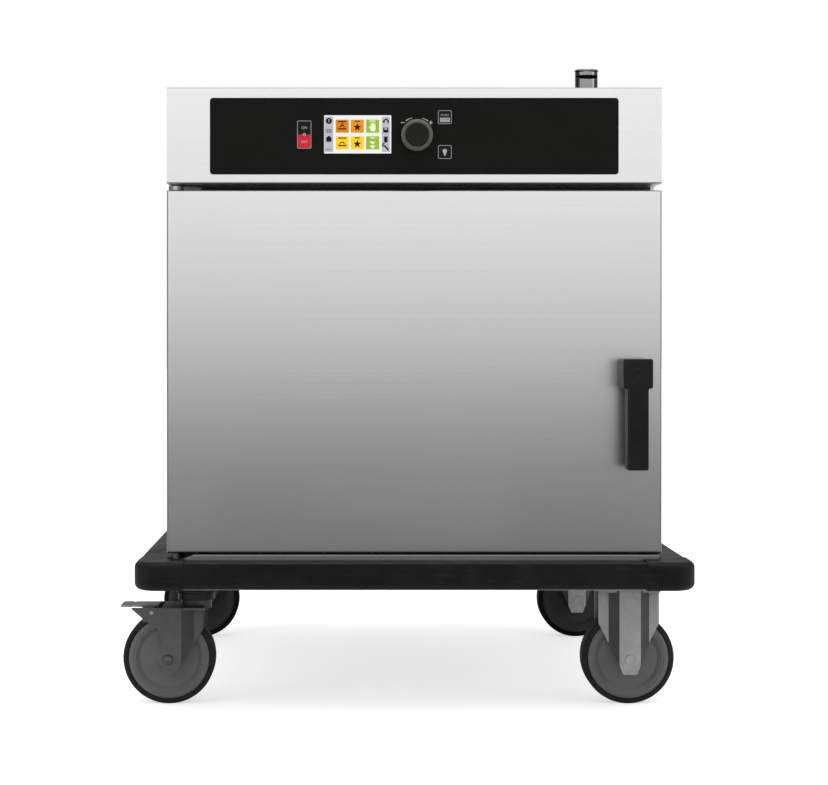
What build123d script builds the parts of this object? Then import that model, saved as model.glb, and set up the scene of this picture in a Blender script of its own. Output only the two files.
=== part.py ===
from build123d import *
from math import radians, sin
import os

os.makedirs("parts", exist_ok=True)

# A combi steamer oven on castors: a stainless cabinet with a side-hung door, a control
# fascia over it, and a chassis with an all-round rubber bumper.
#
# Places are given from the cabinet: x from its mid-plane (+ is right), y from the front
# face of the closed door (+ is rearward) and z from the floor. at() turns them into the
# part's own frame, whose origin is the middle of the whole footprint, on the floor.
# Millimetres throughout.

# Cabinet
WIDTH = 650.0
DEPTH = 790.0
TOP = 826.0
FASCIA_BOTTOM = 700.0
SHEET = 1.5
BODY_FRONT = 60.0
BODY_PLATE = 2.0
HALF = WIDTH / 2

# Chassis and bumper
CHASSIS_BOTTOM = 162.0  # the castors' seats
SKIRT_BOTTOM = 166.0
DECK = 192.0
CHASSIS_SHEET = 3.0
BUMPER_PROUD = 41.0
BUMPER_Z = (171.0, 205.0)
CORNER_Z = (169.0, 207.0)
CORNER_LENGTH = 65.0
CORNER_RADIUS = 32.0

# Castors
AXLE_X = 294.0
AXLES_Y = {"front": 104.0, "rear": 690.0}
TRAIL = 36.0
WHEEL_R = 62.5
WHEEL_W = 32.0
RIM_R = 54.6
AXLE_R = 6.0
FORK_SHEET = 3.0
FLANGE_Y = 21.5  # a fork's flanges, from the wheel's mid-plane to their outer faces
STRIP_Y = 34.0  # the same for the proud strips that carry the axle
LEG_BOTTOM = 42.5
CROWN = (129.0, 132.6)
RACE_Z = 141.0  # where a swivel castor's head turns on its plate
CASTOR_PLATE = (100.0, 85.0, 5.0)
GUSSET = (118.0, 110.0, 4.6)
PLATE_BOTTOM = CHASSIS_BOTTOM - CASTOR_PLATE[2]
BOLT_PITCH = (80.0, 68.0)
BOLT_R = 4.0
BOLT_HEAD_R = 8.0
NUT_T = 4.0
RIVET = (7.0, 0.9)  # an axle's riveted end: radius, height
PEDAL_TIP = 65.0  # ahead of the swivelling wheel's axle
KINGPIN_R = 6.0
RUN = 0.05  # radial clearance of a running fit

# Door
DOOR_Z = (214.5, 691.0)
DOOR_T = 55.0
PIVOT = (-315.0, 27.0)
PIN_R = 5.0
HANDLE = (285.7, 451.0)
HANDLE_SQUARE = 38.3
HANDLE_BASE_T = 29.0
HANDLE_FRONT = 56.0
GRIP_WIDTH = 27.0
GRIP_BOTTOM = 326.6
SPINDLE_R = 5.0
TONGUE = (30.0, 6.0, 6.0)

# Cooking chamber
MOUTH = 268.0  # half its clear width
CHAMBER_Z = (245.0, 660.0)
CHAMBER_BACK = 722.0
CHAMBER_MID_Y = (BODY_FRONT + CHAMBER_BACK) / 2
RACK_LEVELS = 5
RACK_PITCH = 66.0
BAFFLE_Z = 618.0

# Control fascia
GLASS = (536.0, 100.0, 4.0)
GLASS_Z = 762.0
GLASS_PROUD = 1.0
REBATE_Y = GLASS[2] - GLASS_PROUD
SCREEN = (87.8, 49.9)
SCREEN_AT = (-74.3, 764.3)
ROCKER = (18.4, 36.4)
ROCKER_AT = (-144.4, 763.9)
KEY = 17.7
KEYS = {"start_key": (40.1, 786.8), "light_key": (40.1, 741.1)}
KEY_GAP = 0.4
KNOB_AT = (3.2, 762.2)
KNOB_R = 20.6
BOARD_Y = 16.0

# Services
VENT_AT = (251.0, 198.0)
VENT_R = 15.9
VENT_TOP = 875.0
DRAIN_Z = 224.0
DRAIN_R = 12.5
TAIL_R = 13.5
STUB_Y = DEPTH + 2
DRAIN_Y = 640.0
INLET_AT = (-180.0, 745.0)
INLET_R = 13.2
GLAND_AT = (180.0, 745.0)

# The footprint runs from the brake pedals' tips to the right bumper, and from the handle
# to the rear bumper, and the origin is its middle.
LEFT_EDGE = AXLE_X + TRAIL + PEDAL_TIP
MID_X = (LEFT_EDGE - (HALF + BUMPER_PROUD)) / 2
FRONT_Y = -(DEPTH + BUMPER_PROUD - HANDLE_FRONT) / 2


def at(x, y, z):
    """A cabinet place in the part's own frame."""
    return (x + MID_X, y + FRONT_Y, z)


def front_plane(y):
    """Faces the cook: a sketch's own axes are the cabinet's x and z."""
    return Plane(origin=at(0, y, 0), x_dir=(1, 0, 0), z_dir=(0, -1, 0))


def side_plane(x):
    """Faces right: a sketch's own axes are the cabinet's y and z."""
    return Plane(origin=at(x, 0, 0), x_dir=(0, 1, 0), z_dir=(1, 0, 0))


def level_plane(z):
    """Faces up: a sketch's own axes are the cabinet's x and y."""
    return Plane(origin=at(0, 0, z), x_dir=(1, 0, 0), z_dir=(0, 0, 1))


def block(x, y, z, mode=Mode.ADD):
    """A block in the part in hand; x, y and z are each a (low, high) pair."""
    sizes = [high - low for low, high in (x, y, z)]
    middle = [(low + high) / 2 for low, high in (x, y, z)]
    with Locations(at(*middle)):
        Box(*sizes, mode=mode)


def rod(start, along, radius, length, mode=Mode.ADD):
    """A round bar in the part in hand, from start in the direction along."""
    with Locations(Plane(origin=at(*start), z_dir=along)):
        Cylinder(radius, length, align=(Align.CENTER, Align.CENTER, Align.MIN), mode=mode)


def hexagon(start, along, across_flats, length):
    """A hexagon head or nut in the part in hand, from start in the direction along."""
    with BuildSketch(Plane(origin=at(*start), z_dir=along)) as outline:
        RegularPolygon(across_flats / 2, 6, major_radius=False)
    extrude(outline.sketch, amount=length)


def save(piece, label):
    piece.part.label = label
    export_step(piece.part, f"parts/{label}.step")


REAR, AHEAD = (0, 1, 0), (0, -1, 0)
UP, DOWN = (0, 0, 1), (0, 0, -1)
CASTORS_X = (-AXLE_X, AXLE_X)


def bolt_places():
    """Where the castors' plate bolts are, as (x, y) pairs."""
    return [
        (x + step_x * BOLT_PITCH[0] / 2, y + step_y * BOLT_PITCH[1] / 2)
        for x in CASTORS_X
        for y in AXLES_Y.values()
        for step_x in (-1, 1)
        for step_y in (-1, 1)
    ]


def countersunk(place, small, large, mode=Mode.ADD):
    """A countersunk head's cone in the part in hand, widest at the place, below the rest."""
    with Locations(at(*place)):
        Cone(large, small, large - small, align=(Align.CENTER, Align.CENTER, Align.MIN), mode=mode)


def axle(x, y):
    """An axle riveted over on the strips of a fork, in the part in hand."""
    rod((x, y - STRIP_Y, WHEEL_R), REAR, AXLE_R, 2 * STRIP_Y)
    rod((x, y - STRIP_Y, WHEEL_R), AHEAD, RIVET[0], RIVET[1])
    rod((x, y + STRIP_Y, WHEEL_R), REAR, RIVET[0], RIVET[1])


# ---------------------------------------------------------------- chassis and bumper

CHASSIS_LIP = 45.0

with BuildPart() as chassis:
    block((-HALF, HALF), (0, DEPTH), (SKIRT_BOTTOM, DECK))
    block(
        (-HALF + CHASSIS_SHEET, HALF - CHASSIS_SHEET),
        (CHASSIS_SHEET, DEPTH - CHASSIS_SHEET),
        (SKIRT_BOTTOM + CHASSIS_SHEET, DECK - CHASSIS_SHEET),
        mode=Mode.SUBTRACT,
    )
    block(
        (-HALF + CHASSIS_LIP, HALF - CHASSIS_LIP),
        (CHASSIS_LIP, DEPTH - CHASSIS_LIP),
        (SKIRT_BOTTOM, DECK - 10),
        mode=Mode.SUBTRACT,
    )
    for x in CASTORS_X:
        for y in AXLES_Y.values():
            block(
                (x - GUSSET[0] / 2, x + GUSSET[0] / 2),
                (y - GUSSET[1] / 2, y + GUSSET[1] / 2),
                (CHASSIS_BOTTOM, CHASSIS_BOTTOM + GUSSET[2]),
            )
    for x, y in bolt_places():
        rod((x, y, CHASSIS_BOTTOM), UP, 4.2, GUSSET[2], mode=Mode.SUBTRACT)
save(chassis, "chassis")


def bumper_profile(label, plane, middle, outer, length):
    """A straight rubber profile, rounded on the two edges that outer picks."""
    with BuildPart() as profile:
        with BuildSketch(plane) as section:
            with Locations((middle, sum(BUMPER_Z) / 2)):
                Rectangle(BUMPER_PROUD, BUMPER_Z[1] - BUMPER_Z[0])
            fillet(outer(section.vertices()), 8)
        extrude(amount=length)
    save(profile, label)


bumper_profile(
    "bumper_front",
    side_plane(-HALF - BUMPER_PROUD + CORNER_LENGTH),
    -BUMPER_PROUD / 2,
    lambda found: found.group_by(Axis.Y)[0],
    WIDTH + 2 * (BUMPER_PROUD - CORNER_LENGTH),
)
bumper_profile(
    "bumper_rear",
    side_plane(-HALF - BUMPER_PROUD + CORNER_LENGTH),
    DEPTH + BUMPER_PROUD / 2,
    lambda found: found.group_by(Axis.Y)[-1],
    WIDTH + 2 * (BUMPER_PROUD - CORNER_LENGTH),
)
bumper_profile(
    "bumper_left",
    front_plane(DEPTH + BUMPER_PROUD - CORNER_LENGTH),
    -HALF - BUMPER_PROUD / 2,
    lambda found: found.group_by(Axis.X)[0],
    DEPTH + 2 * (BUMPER_PROUD - CORNER_LENGTH),
)
bumper_profile(
    "bumper_right",
    front_plane(DEPTH + BUMPER_PROUD - CORNER_LENGTH),
    HALF + BUMPER_PROUD / 2,
    lambda found: found.group_by(Axis.X)[-1],
    DEPTH + 2 * (BUMPER_PROUD - CORNER_LENGTH),
)


def bumper_corner(label, side, end):
    """A moulded corner; side is -1 at the left and end is -1 at the front."""
    tip_x = side * (HALF + BUMPER_PROUD)
    tip_y = DEPTH / 2 + end * (DEPTH / 2 + BUMPER_PROUD)
    in_x, in_y = tip_x - side * CORNER_LENGTH, tip_y - end * CORNER_LENGTH
    cab_x, cab_y = tip_x - side * BUMPER_PROUD, tip_y - end * BUMPER_PROUD

    def on_outline(edge):
        ends = edge.vertices()
        level = abs(ends[0].Z - ends[-1].Z) < 0.01
        return level and all(
            abs(v.X - MID_X - tip_x) < 0.01 or abs(v.Y - FRONT_Y - tip_y) < 0.01 for v in ends
        )

    with BuildPart() as corner:
        with BuildSketch(level_plane(CORNER_Z[0])) as plan:
            with BuildLine():
                Polyline(
                    (tip_x, tip_y), (in_x, tip_y), (in_x, cab_y),
                    (cab_x, cab_y), (cab_x, in_y), (tip_x, in_y),
                    close=True,
                )
            make_face()
            tips = plan.vertices().sort_by_distance(at(tip_x, tip_y, CORNER_Z[0]))
            fillet(tips[0], CORNER_RADIUS)
        extrude(amount=CORNER_Z[1] - CORNER_Z[0])
        fillet(corner.edges().filter_by(on_outline), 9)
    save(corner, label)


bumper_corner("bumper_corner_front_left", -1, -1)
bumper_corner("bumper_corner_front_right", 1, -1)
bumper_corner("bumper_corner_rear_left", -1, 1)
bumper_corner("bumper_corner_rear_right", 1, 1)

# ------------------------------------------------------------------------- cabinet

SCREW_R = 2.5
BACK_SCREWS = [(side * (HALF - 11), z) for side in (-1, 1) for z in (220, 400, 580, 780)]
CASING_BACK = DEPTH - BODY_PLATE

with BuildPart() as outer_casing:
    block((-HALF, HALF), (BODY_FRONT, CASING_BACK), (DECK, TOP))
    block(
        (-HALF + SHEET, HALF - SHEET),
        (BODY_FRONT, CASING_BACK - SHEET),
        (DECK, TOP - SHEET),
        mode=Mode.SUBTRACT,
    )
    block(
        (-HALF + 22, HALF - 22),
        (CASING_BACK - SHEET, CASING_BACK),
        (DECK, TOP - 22),
        mode=Mode.SUBTRACT,
    )
    rod((*VENT_AT, TOP - SHEET), UP, VENT_R + 0.4, SHEET, mode=Mode.SUBTRACT)
    for x, z in BACK_SCREWS:
        rod((x, CASING_BACK - SHEET, z), REAR, SCREW_R + 0.2, SHEET, mode=Mode.SUBTRACT)
save(outer_casing, "outer_casing")

with BuildPart() as back_panel:
    block((-HALF, HALF), (CASING_BACK, DEPTH), (DECK, TOP))
    for x, z in BACK_SCREWS:
        rod((x, CASING_BACK, z), REAR, SCREW_R + 0.2, BODY_PLATE, mode=Mode.SUBTRACT)
    rod((0, CASING_BACK, DRAIN_Z), REAR, DRAIN_R + 0.3, BODY_PLATE, mode=Mode.SUBTRACT)
    rod((INLET_AT[0], CASING_BACK, INLET_AT[1]), REAR, INLET_R + 0.3, BODY_PLATE, mode=Mode.SUBTRACT)
    rod((GLAND_AT[0], CASING_BACK, GLAND_AT[1]), REAR, 12.5, BODY_PLATE, mode=Mode.SUBTRACT)
    # The cooling air leaves through a field of upright slots.
    with BuildSketch(front_plane(DEPTH)) as slots:
        with Locations((0, 752)):
            with GridLocations(14, 1, 15, 1):
                SlotOverall(56, 5, rotation=90)
    extrude(amount=BODY_PLATE, mode=Mode.SUBTRACT)
save(back_panel, "back_panel")

FASCIA_FRONT_T = 5.0
FASCIA_SHEET = 2.0
REBATE_EDGE = 8.0

with BuildPart() as front_fascia:
    block((-HALF, HALF), (0, BODY_FRONT), (FASCIA_BOTTOM, TOP))
    fillet(front_fascia.edges().filter_by(Axis.X).group_by(Axis.Y)[0], 2)
    block(
        (-HALF + FASCIA_SHEET, HALF - FASCIA_SHEET),
        (FASCIA_FRONT_T, BODY_FRONT),
        (FASCIA_BOTTOM + FASCIA_SHEET, TOP - FASCIA_SHEET),
        mode=Mode.SUBTRACT,
    )
    with BuildSketch(front_plane(REBATE_Y)):
        with Locations((0, GLASS_Z)):
            RectangleRounded(GLASS[0] + 0.6, GLASS[1] + 0.6, 4.3)
    extrude(amount=REBATE_Y, mode=Mode.SUBTRACT)
    with BuildSketch(front_plane(FASCIA_FRONT_T)):
        with Locations((0, GLASS_Z)):
            Rectangle(GLASS[0] - 2 * REBATE_EDGE, GLASS[1] - 2 * REBATE_EDGE)
    extrude(amount=FASCIA_FRONT_T, mode=Mode.SUBTRACT)
save(front_fascia, "front_fascia")

LATCH_SLOT = (12.0, 34.0)

with BuildPart() as cooking_chamber:
    block((-HALF + SHEET, HALF - SHEET), (BODY_FRONT, BODY_FRONT + BODY_PLATE), (DECK, TOP - SHEET))
    block(
        (-MOUTH - SHEET, MOUTH + SHEET),
        (BODY_FRONT, CHAMBER_BACK + SHEET),
        (CHAMBER_Z[0] - SHEET, CHAMBER_Z[1] + SHEET),
    )
    with BuildSketch(front_plane(CHAMBER_BACK)):
        with Locations((0, sum(CHAMBER_Z) / 2)):
            RectangleRounded(2 * MOUTH, CHAMBER_Z[1] - CHAMBER_Z[0], 6)
    extrude(amount=CHAMBER_BACK, mode=Mode.SUBTRACT)
    block((-150, 150), (BODY_FRONT, BODY_FRONT + BODY_PLATE), (715, 805), mode=Mode.SUBTRACT)
    with BuildSketch(front_plane(BODY_FRONT + BODY_PLATE)):
        with Locations(HANDLE):
            Rectangle(*LATCH_SLOT)
    extrude(amount=BODY_PLATE, mode=Mode.SUBTRACT)
    # Holes for the fan's shaft, the heater's leads, the water jet, the vent and the drain.
    ceiling_holes = {
        (0, CHAMBER_MID_Y): 8,
        (132, CHAMBER_MID_Y - 12): 4.5,
        (132, CHAMBER_MID_Y + 12): 4.5,
        (-175, 560): 4.5,
        VENT_AT: VENT_R - SHEET,
    }
    for (x, y), radius in ceiling_holes.items():
        rod((x, y, CHAMBER_Z[1]), UP, radius, SHEET, mode=Mode.SUBTRACT)
    rod((0, DRAIN_Y, CHAMBER_Z[0]), DOWN, DRAIN_R - SHEET, SHEET, mode=Mode.SUBTRACT)
save(cooking_chamber, "cooking_chamber")

TRAY_X = (-305.0, 322.0)
TRAY_Y = (3.0, 58.0)
TRAY_TOP = 213.2
TRAY_CUT = (18.0, 7.0)  # off the left end's top corner, beside the hinge

with BuildPart() as drip_tray:
    with BuildSketch(front_plane(TRAY_Y[1])):
        with BuildLine():
            Polyline(
                (TRAY_X[0], DECK),
                (TRAY_X[1], DECK),
                (TRAY_X[1], TRAY_TOP),
                (TRAY_X[0] + TRAY_CUT[0], TRAY_TOP),
                (TRAY_X[0], TRAY_TOP - TRAY_CUT[1]),
                close=True,
            )
        make_face()
    extrude(amount=TRAY_Y[1] - TRAY_Y[0])
    fillet(drip_tray.edges().filter_by(Axis.X).group_by(Axis.Y)[0].sort_by(Axis.Z)[-1], 2.5)
    block(
        (TRAY_X[0] + TRAY_CUT[0] + 2, TRAY_X[1] - 2),
        (TRAY_Y[0] + 5, TRAY_Y[1] - 2),
        (DECK + 2, TRAY_TOP),
        mode=Mode.SUBTRACT,
    )
save(drip_tray, "drip_tray")

BRACKET_FLANGE = (BODY_FRONT - 2.8, BODY_FRONT)


def hinge_bracket(label, z, boss_radius, far_x, flange_z):
    """A plate with a bored boss for the door's pin, and a flange on the body's front."""
    with BuildPart() as bracket:
        with BuildSketch(level_plane(z[0])):
            with Locations(PIVOT):
                Circle(boss_radius)
            with BuildLine():
                Polyline(
                    (PIVOT[0] - boss_radius, PIVOT[1]),
                    (PIVOT[0] + boss_radius, PIVOT[1]),
                    (far_x, PIVOT[1] + 18),
                    (far_x, BODY_FRONT),
                    (PIVOT[0] - boss_radius, BODY_FRONT),
                    close=True,
                )
            make_face()
            with Locations(PIVOT):
                Circle(PIN_R + RUN, mode=Mode.SUBTRACT)
        extrude(amount=z[1] - z[0])
        block((PIVOT[0] - 8, far_x), BRACKET_FLANGE, flange_z)
    save(bracket, label)


UPPER_BRACKET_Z = (693.2, 698.2)
LOWER_BRACKET_Z = (205.0, 211.5)
hinge_bracket("hinge_bracket_upper", UPPER_BRACKET_Z, 9.8, -283.0, (674.0, UPPER_BRACKET_Z[0]))
hinge_bracket("hinge_bracket_lower", LOWER_BRACKET_Z, 8.0, -306.0, (DECK + 0.5, 230.0))

# The casing's screws, and the bolts and nuts that hold the castors.
with BuildPart() as fasteners:
    for x, z in BACK_SCREWS:
        rod((x, DEPTH + 2.4, z), AHEAD, SCREW_R, 16)
        rod((x, DEPTH, z), REAR, 4.8, 2.4)
    for x, y in bolt_places():
        countersunk((x, y, PLATE_BOTTOM), BOLT_R, BOLT_HEAD_R)
        rod((x, y, PLATE_BOTTOM), UP, BOLT_R, CASTOR_PLATE[2] + GUSSET[2] + NUT_T - 0.2)
        hexagon((x, y, CHASSIS_BOTTOM + GUSSET[2]), UP, 13, NUT_T)
    # The fixed castors' axles.
    for y in AXLES_Y.values():
        axle(AXLE_X, y)
save(fasteners, "fasteners")

# ----------------------------------------------------------------- chamber fittings


def shelf_rack(label, side):
    """Three posts with a ledge at each level, on studs in the chamber's wall."""
    with BuildPart() as rack:
        for y in (115, CHAMBER_MID_Y, 665):
            inner_x, outer_x = sorted((side * 262.5, side * 265))
            block((inner_x, outer_x), (y - 9, y + 9), (275, 604))
            for z in (300, 590):
                rod((side * 264, y, z), (side, 0, 0), 4, MOUTH - 264)
        for level in range(RACK_LEVELS):
            z = 290 + level * RACK_PITCH
            ledge = sorted((side * 251, side * 264))
            block(ledge, (85, 695), (z, z + 1.6))
            lip = sorted((side * 262.4, side * 264))
            block(lip, (85, 695), (z, z + 14))
    save(rack, label)


shelf_rack("rack_left", -1)
shelf_rack("rack_right", 1)

with BuildPart() as fan_baffle:
    block((-240, 240), (95, 690), (BAFFLE_Z, BAFFLE_Z + 14))
    block((-238, 238), (97, 688), (BAFFLE_Z + 2, BAFFLE_Z + 14), mode=Mode.SUBTRACT)
    with BuildSketch(level_plane(BAFFLE_Z)):
        with Locations((0, CHAMBER_MID_Y)):
            Circle(9)
        for ring in range(1, 5):
            with Locations((0, CHAMBER_MID_Y)):
                with PolarLocations(22 * ring, 6 * ring):
                    Circle(8)
    extrude(amount=2, mode=Mode.SUBTRACT)
    for x in (-215, 215):
        for y in (120, 665):
            rod((x, y, BAFFLE_Z + 1), UP, 5, CHAMBER_Z[1] - BAFFLE_Z - 1)
save(fan_baffle, "fan_baffle")

HEATER_R = 132.0

with BuildPart() as heating_element:
    for z, lead_y in ((636, -12), (648, 12)):
        with Locations(at(0, CHAMBER_MID_Y, z)):
            Torus(HEATER_R, 4)
        rod((HEATER_R - 0.6, CHAMBER_MID_Y + lead_y, z), UP, 3.2, 676 - z)
    rod((-HEATER_R, CHAMBER_MID_Y, 636), UP, 3.2, 12)
save(heating_element, "heating_element")

FAN_R = 108.0
BLADES = 12

with BuildPart() as fan_wheel:
    rod((0, CHAMBER_MID_Y, 651), UP, FAN_R, 2)
    rod((0, CHAMBER_MID_Y, 634), UP, 17, 19)
    rod((0, CHAMBER_MID_Y, 640), UP, AXLE_R, 100)
    with BuildSketch(level_plane(630)):
        with Locations((0, CHAMBER_MID_Y)):
            Circle(FAN_R)
            Circle(FAN_R - 16, mode=Mode.SUBTRACT)
    extrude(amount=2)
    with BuildSketch(level_plane(630)):
        with Locations((0, CHAMBER_MID_Y)):
            with PolarLocations(86, BLADES):
                Rectangle(40, 2, rotation=25)
    extrude(amount=22)
save(fan_wheel, "fan_wheel")

MOTOR_BASE = CHAMBER_Z[1] + SHEET

with BuildPart() as fan_motor:
    block((-78, 78), (CHAMBER_MID_Y - 78, CHAMBER_MID_Y + 78), (MOTOR_BASE, MOTOR_BASE + 3))
    rod((0, CHAMBER_MID_Y, MOTOR_BASE + 3), UP, 52, 92)
    with BuildSketch(level_plane(MOTOR_BASE + 16)):
        with Locations((0, CHAMBER_MID_Y)):
            with PolarLocations(54, 18):
                Rectangle(12, 3)
    extrude(amount=62)
    rod((0, CHAMBER_MID_Y, MOTOR_BASE), UP, 20, 6, mode=Mode.SUBTRACT)
    rod((0, CHAMBER_MID_Y, MOTOR_BASE), UP, AXLE_R + RUN, 84, mode=Mode.SUBTRACT)
save(fan_motor, "fan_motor")

# ------------------------------------------------------------------------- services

with BuildPart() as water_valve:
    inlet_x, inlet_z = INLET_AT
    block((inlet_x - 20, inlet_x + 20), (730, 768), (inlet_z - 18, inlet_z + 18))
    rod((inlet_x, 768, inlet_z), REAR, 12, STUB_Y - 768)
    rod((inlet_x, STUB_Y, inlet_z), REAR, INLET_R, 26)
    rod((inlet_x, 740, inlet_z), REAR, 9, STUB_Y + 26 - 740, mode=Mode.SUBTRACT)
    rod((inlet_x, 749, inlet_z + 18), UP, 15, 34)
    # The outlet tube runs forward and down to the jet in the chamber's ceiling.
    with BuildLine() as route:
        FilletPolyline(
            at(inlet_x + 5, 731, inlet_z), at(inlet_x + 5, 560, inlet_z), at(inlet_x + 5, 560, 646),
            radius=24,
        )
    with BuildSketch(Plane(origin=at(inlet_x + 5, 731, inlet_z), z_dir=AHEAD)):
        Circle(4)
    sweep(path=route.wires()[0])
save(water_valve, "water_valve")

with BuildPart() as drain_pipe:
    with BuildLine() as route:
        FilletPolyline(
            at(0, DRAIN_Y, CHAMBER_Z[0] - SHEET), at(0, DRAIN_Y, DRAIN_Z), at(0, STUB_Y + 32, DRAIN_Z),
            radius=18,
        )
    with BuildSketch(Plane(origin=at(0, DRAIN_Y, CHAMBER_Z[0] - SHEET), z_dir=DOWN)):
        Circle(DRAIN_R)
        Circle(DRAIN_R - SHEET, mode=Mode.SUBTRACT)
    sweep(path=route.wires()[0])
    rod((0, STUB_Y, DRAIN_Z), REAR, TAIL_R, 32)
    rod((0, STUB_Y, DRAIN_Z), REAR, DRAIN_R - SHEET, 32, mode=Mode.SUBTRACT)
save(drain_pipe, "drain_pipe")

VENT_WINDOW = (861.5, 868.0)

with BuildPart() as vent_pipe:
    vent_x, vent_y = VENT_AT
    rod((vent_x, vent_y, MOTOR_BASE), UP, VENT_R, VENT_TOP - MOTOR_BASE)
    fillet(vent_pipe.edges().group_by(Axis.Z)[-1], 3.5)
    bore = VENT_TOP - SHEET - MOTOR_BASE
    rod((vent_x, vent_y, MOTOR_BASE), UP, VENT_R - SHEET, bore, mode=Mode.SUBTRACT)
    # A wedge-shaped window in front, its sill falling forward, lets the steam out.
    with BuildSketch(side_plane(vent_x + VENT_R + 1)):
        with BuildLine():
            Polyline(
                (vent_y - 1.5, VENT_WINDOW[1]), (vent_y - VENT_R - 1, VENT_WINDOW[1]),
                (vent_y - VENT_R - 1, VENT_WINDOW[0]), close=True,
            )
        make_face()
    extrude(amount=-2 * (VENT_R + 1), mode=Mode.SUBTRACT)
save(vent_pipe, "vent_pipe")

with BuildPart() as cable_gland:
    gland_x, gland_z = GLAND_AT
    hexagon((gland_x, DEPTH, gland_z), REAR, 30, 6)
    rod((gland_x, DEPTH + 6, gland_z), REAR, 13, 18)
    fillet(cable_gland.edges().filter_by(GeomType.CIRCLE).group_by(Axis.Y)[-1], 3)
    rod((gland_x, CASING_BACK - 8, gland_z), REAR, 12.2, 10)
    hexagon((gland_x, CASING_BACK, gland_z), AHEAD, 30, 5)
    rod((gland_x, CASING_BACK - 8, gland_z), REAR, 7, 40, mode=Mode.SUBTRACT)
save(cable_gland, "cable_gland")

# ------------------------------------------------------------------------- controls

with BuildPart() as control_glass:
    with BuildSketch(front_plane(REBATE_Y)):
        with Locations((0, GLASS_Z)):
            RectangleRounded(GLASS[0], GLASS[1], 4)
        with Locations(SCREEN_AT):
            RectangleRounded(SCREEN[0] + 0.4, SCREEN[1] + 0.4, 1, mode=Mode.SUBTRACT)
        with Locations(ROCKER_AT):
            RectangleRounded(ROCKER[0] + 2 * KEY_GAP, ROCKER[1] + 2.5 * KEY_GAP, 1.2, mode=Mode.SUBTRACT)
        with Locations(*KEYS.values()):
            RectangleRounded(KEY + 2 * KEY_GAP, KEY + 2 * KEY_GAP, 1.2, mode=Mode.SUBTRACT)
        with Locations(KNOB_AT):
            Circle(4.4, mode=Mode.SUBTRACT)
    extrude(amount=GLASS[2])
    chamfer(control_glass.faces().sort_by(Axis.Y)[0].outer_wire().edges(), 0.6)
save(control_glass, "control_glass")

with BuildPart() as display_module:
    with BuildSketch(front_plane(REBATE_Y)):
        with Locations(SCREEN_AT):
            RectangleRounded(*SCREEN, 1)
    extrude(amount=GLASS[2] - 0.3)
    screen_x, screen_z = SCREEN_AT
    block((screen_x - 52, screen_x + 52), (REBATE_Y, 12), (screen_z - 33, screen_z + 33))
save(display_module, "display_module")

BOARD_X = (-175.0, 75.0)
BOARD_Z = (713.0, 811.0)
SWITCH_Y = 9.6
PLUNGER_R = 4.5

with BuildPart() as control_board:
    block(BOARD_X, (BOARD_Y, BOARD_Y + 1.6), BOARD_Z)
    for x in (BOARD_X[0] + 8, BOARD_X[1] - 8):
        for z in (BOARD_Z[0] + 3.5, BOARD_Z[1] - 3.5):
            rod((x, FASCIA_FRONT_T, z), REAR, 3, BOARD_Y - FASCIA_FRONT_T)
    for x, z in KEYS.values():
        block((x - 4, x + 4), (SWITCH_Y, BOARD_Y), (z - 4, z + 4))
    for step in (-12, 12):
        x, z = ROCKER_AT[0], ROCKER_AT[1] + step
        block((x - 4, x + 4), (SWITCH_Y, BOARD_Y), (z - 4, z + 4))
    knob_x, knob_z = KNOB_AT
    block((knob_x - 8, knob_x + 8), (8, BOARD_Y), (knob_z - 8, knob_z + 8))
    rod((knob_x, 8, knob_z), REAR, PLUNGER_R + RUN, 12, mode=Mode.SUBTRACT)
    block((BOARD_X[0] + 60, BOARD_X[0] + 110), (BOARD_Y + 1.6, BOARD_Y + 9), (730, 770))
save(control_board, "control_board")

SHAFT_R = 3.0

with BuildPart() as encoder_plunger:
    rod((knob_x, 9, knob_z), REAR, PLUNGER_R, 6)
    rod((knob_x, 9, knob_z), REAR, SHAFT_R + RUN, 6, mode=Mode.SUBTRACT)
save(encoder_plunger, "encoder_plunger")

KNOB_Y = (-17.0, -3.0)
CAP_R = 15.0

with BuildPart() as control_knob:
    rod((knob_x, KNOB_Y[1], knob_z), AHEAD, KNOB_R, KNOB_Y[1] - KNOB_Y[0])
    chamfer(control_knob.edges().group_by(Axis.Y)[0], length=1.6, length2=3.0)
    rod((knob_x, KNOB_Y[0], knob_z), REAR, CAP_R + 0.6, 1.2, mode=Mode.SUBTRACT)
    rod((knob_x, KNOB_Y[0] + 1.2, knob_z), AHEAD, CAP_R, 1.6)
    with Locations(Plane(origin=at(knob_x, KNOB_Y[1], knob_z), z_dir=AHEAD)):
        with PolarLocations(KNOB_R + 0.35, 36):
            Cylinder(0.8, 10, align=(Align.CENTER, Align.CENTER, Align.MIN), mode=Mode.SUBTRACT)
    rod((knob_x, KNOB_Y[1], knob_z), REAR, 3.8, 8.7 - KNOB_Y[1])
    rod((knob_x, 8, knob_z), REAR, SHAFT_R, 6.5)
save(control_knob, "control_knob")

KEY_FRONT = -GLASS_PROUD - 0.2


def key(label, place, width, height, stem_steps):
    """A key cap in the glass, with a stem over each switch on the board."""
    x, z = place
    with BuildPart() as cap:
        with BuildSketch(front_plane(4.5)):
            with Locations(place):
                RectangleRounded(width, height, 1)
        extrude(amount=4.5 - KEY_FRONT)
        for step in stem_steps:
            block((x - 3, x + 3), (4.5, SWITCH_Y - 1), (z + step - 3, z + step + 3))
    save(cap, label)


key("power_rocker", ROCKER_AT, *ROCKER, (-12, 12))
for label, place in KEYS.items():
    key(label, place, KEY, KEY, (0,))

# ----------------------------------------------------------------------------- door

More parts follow.
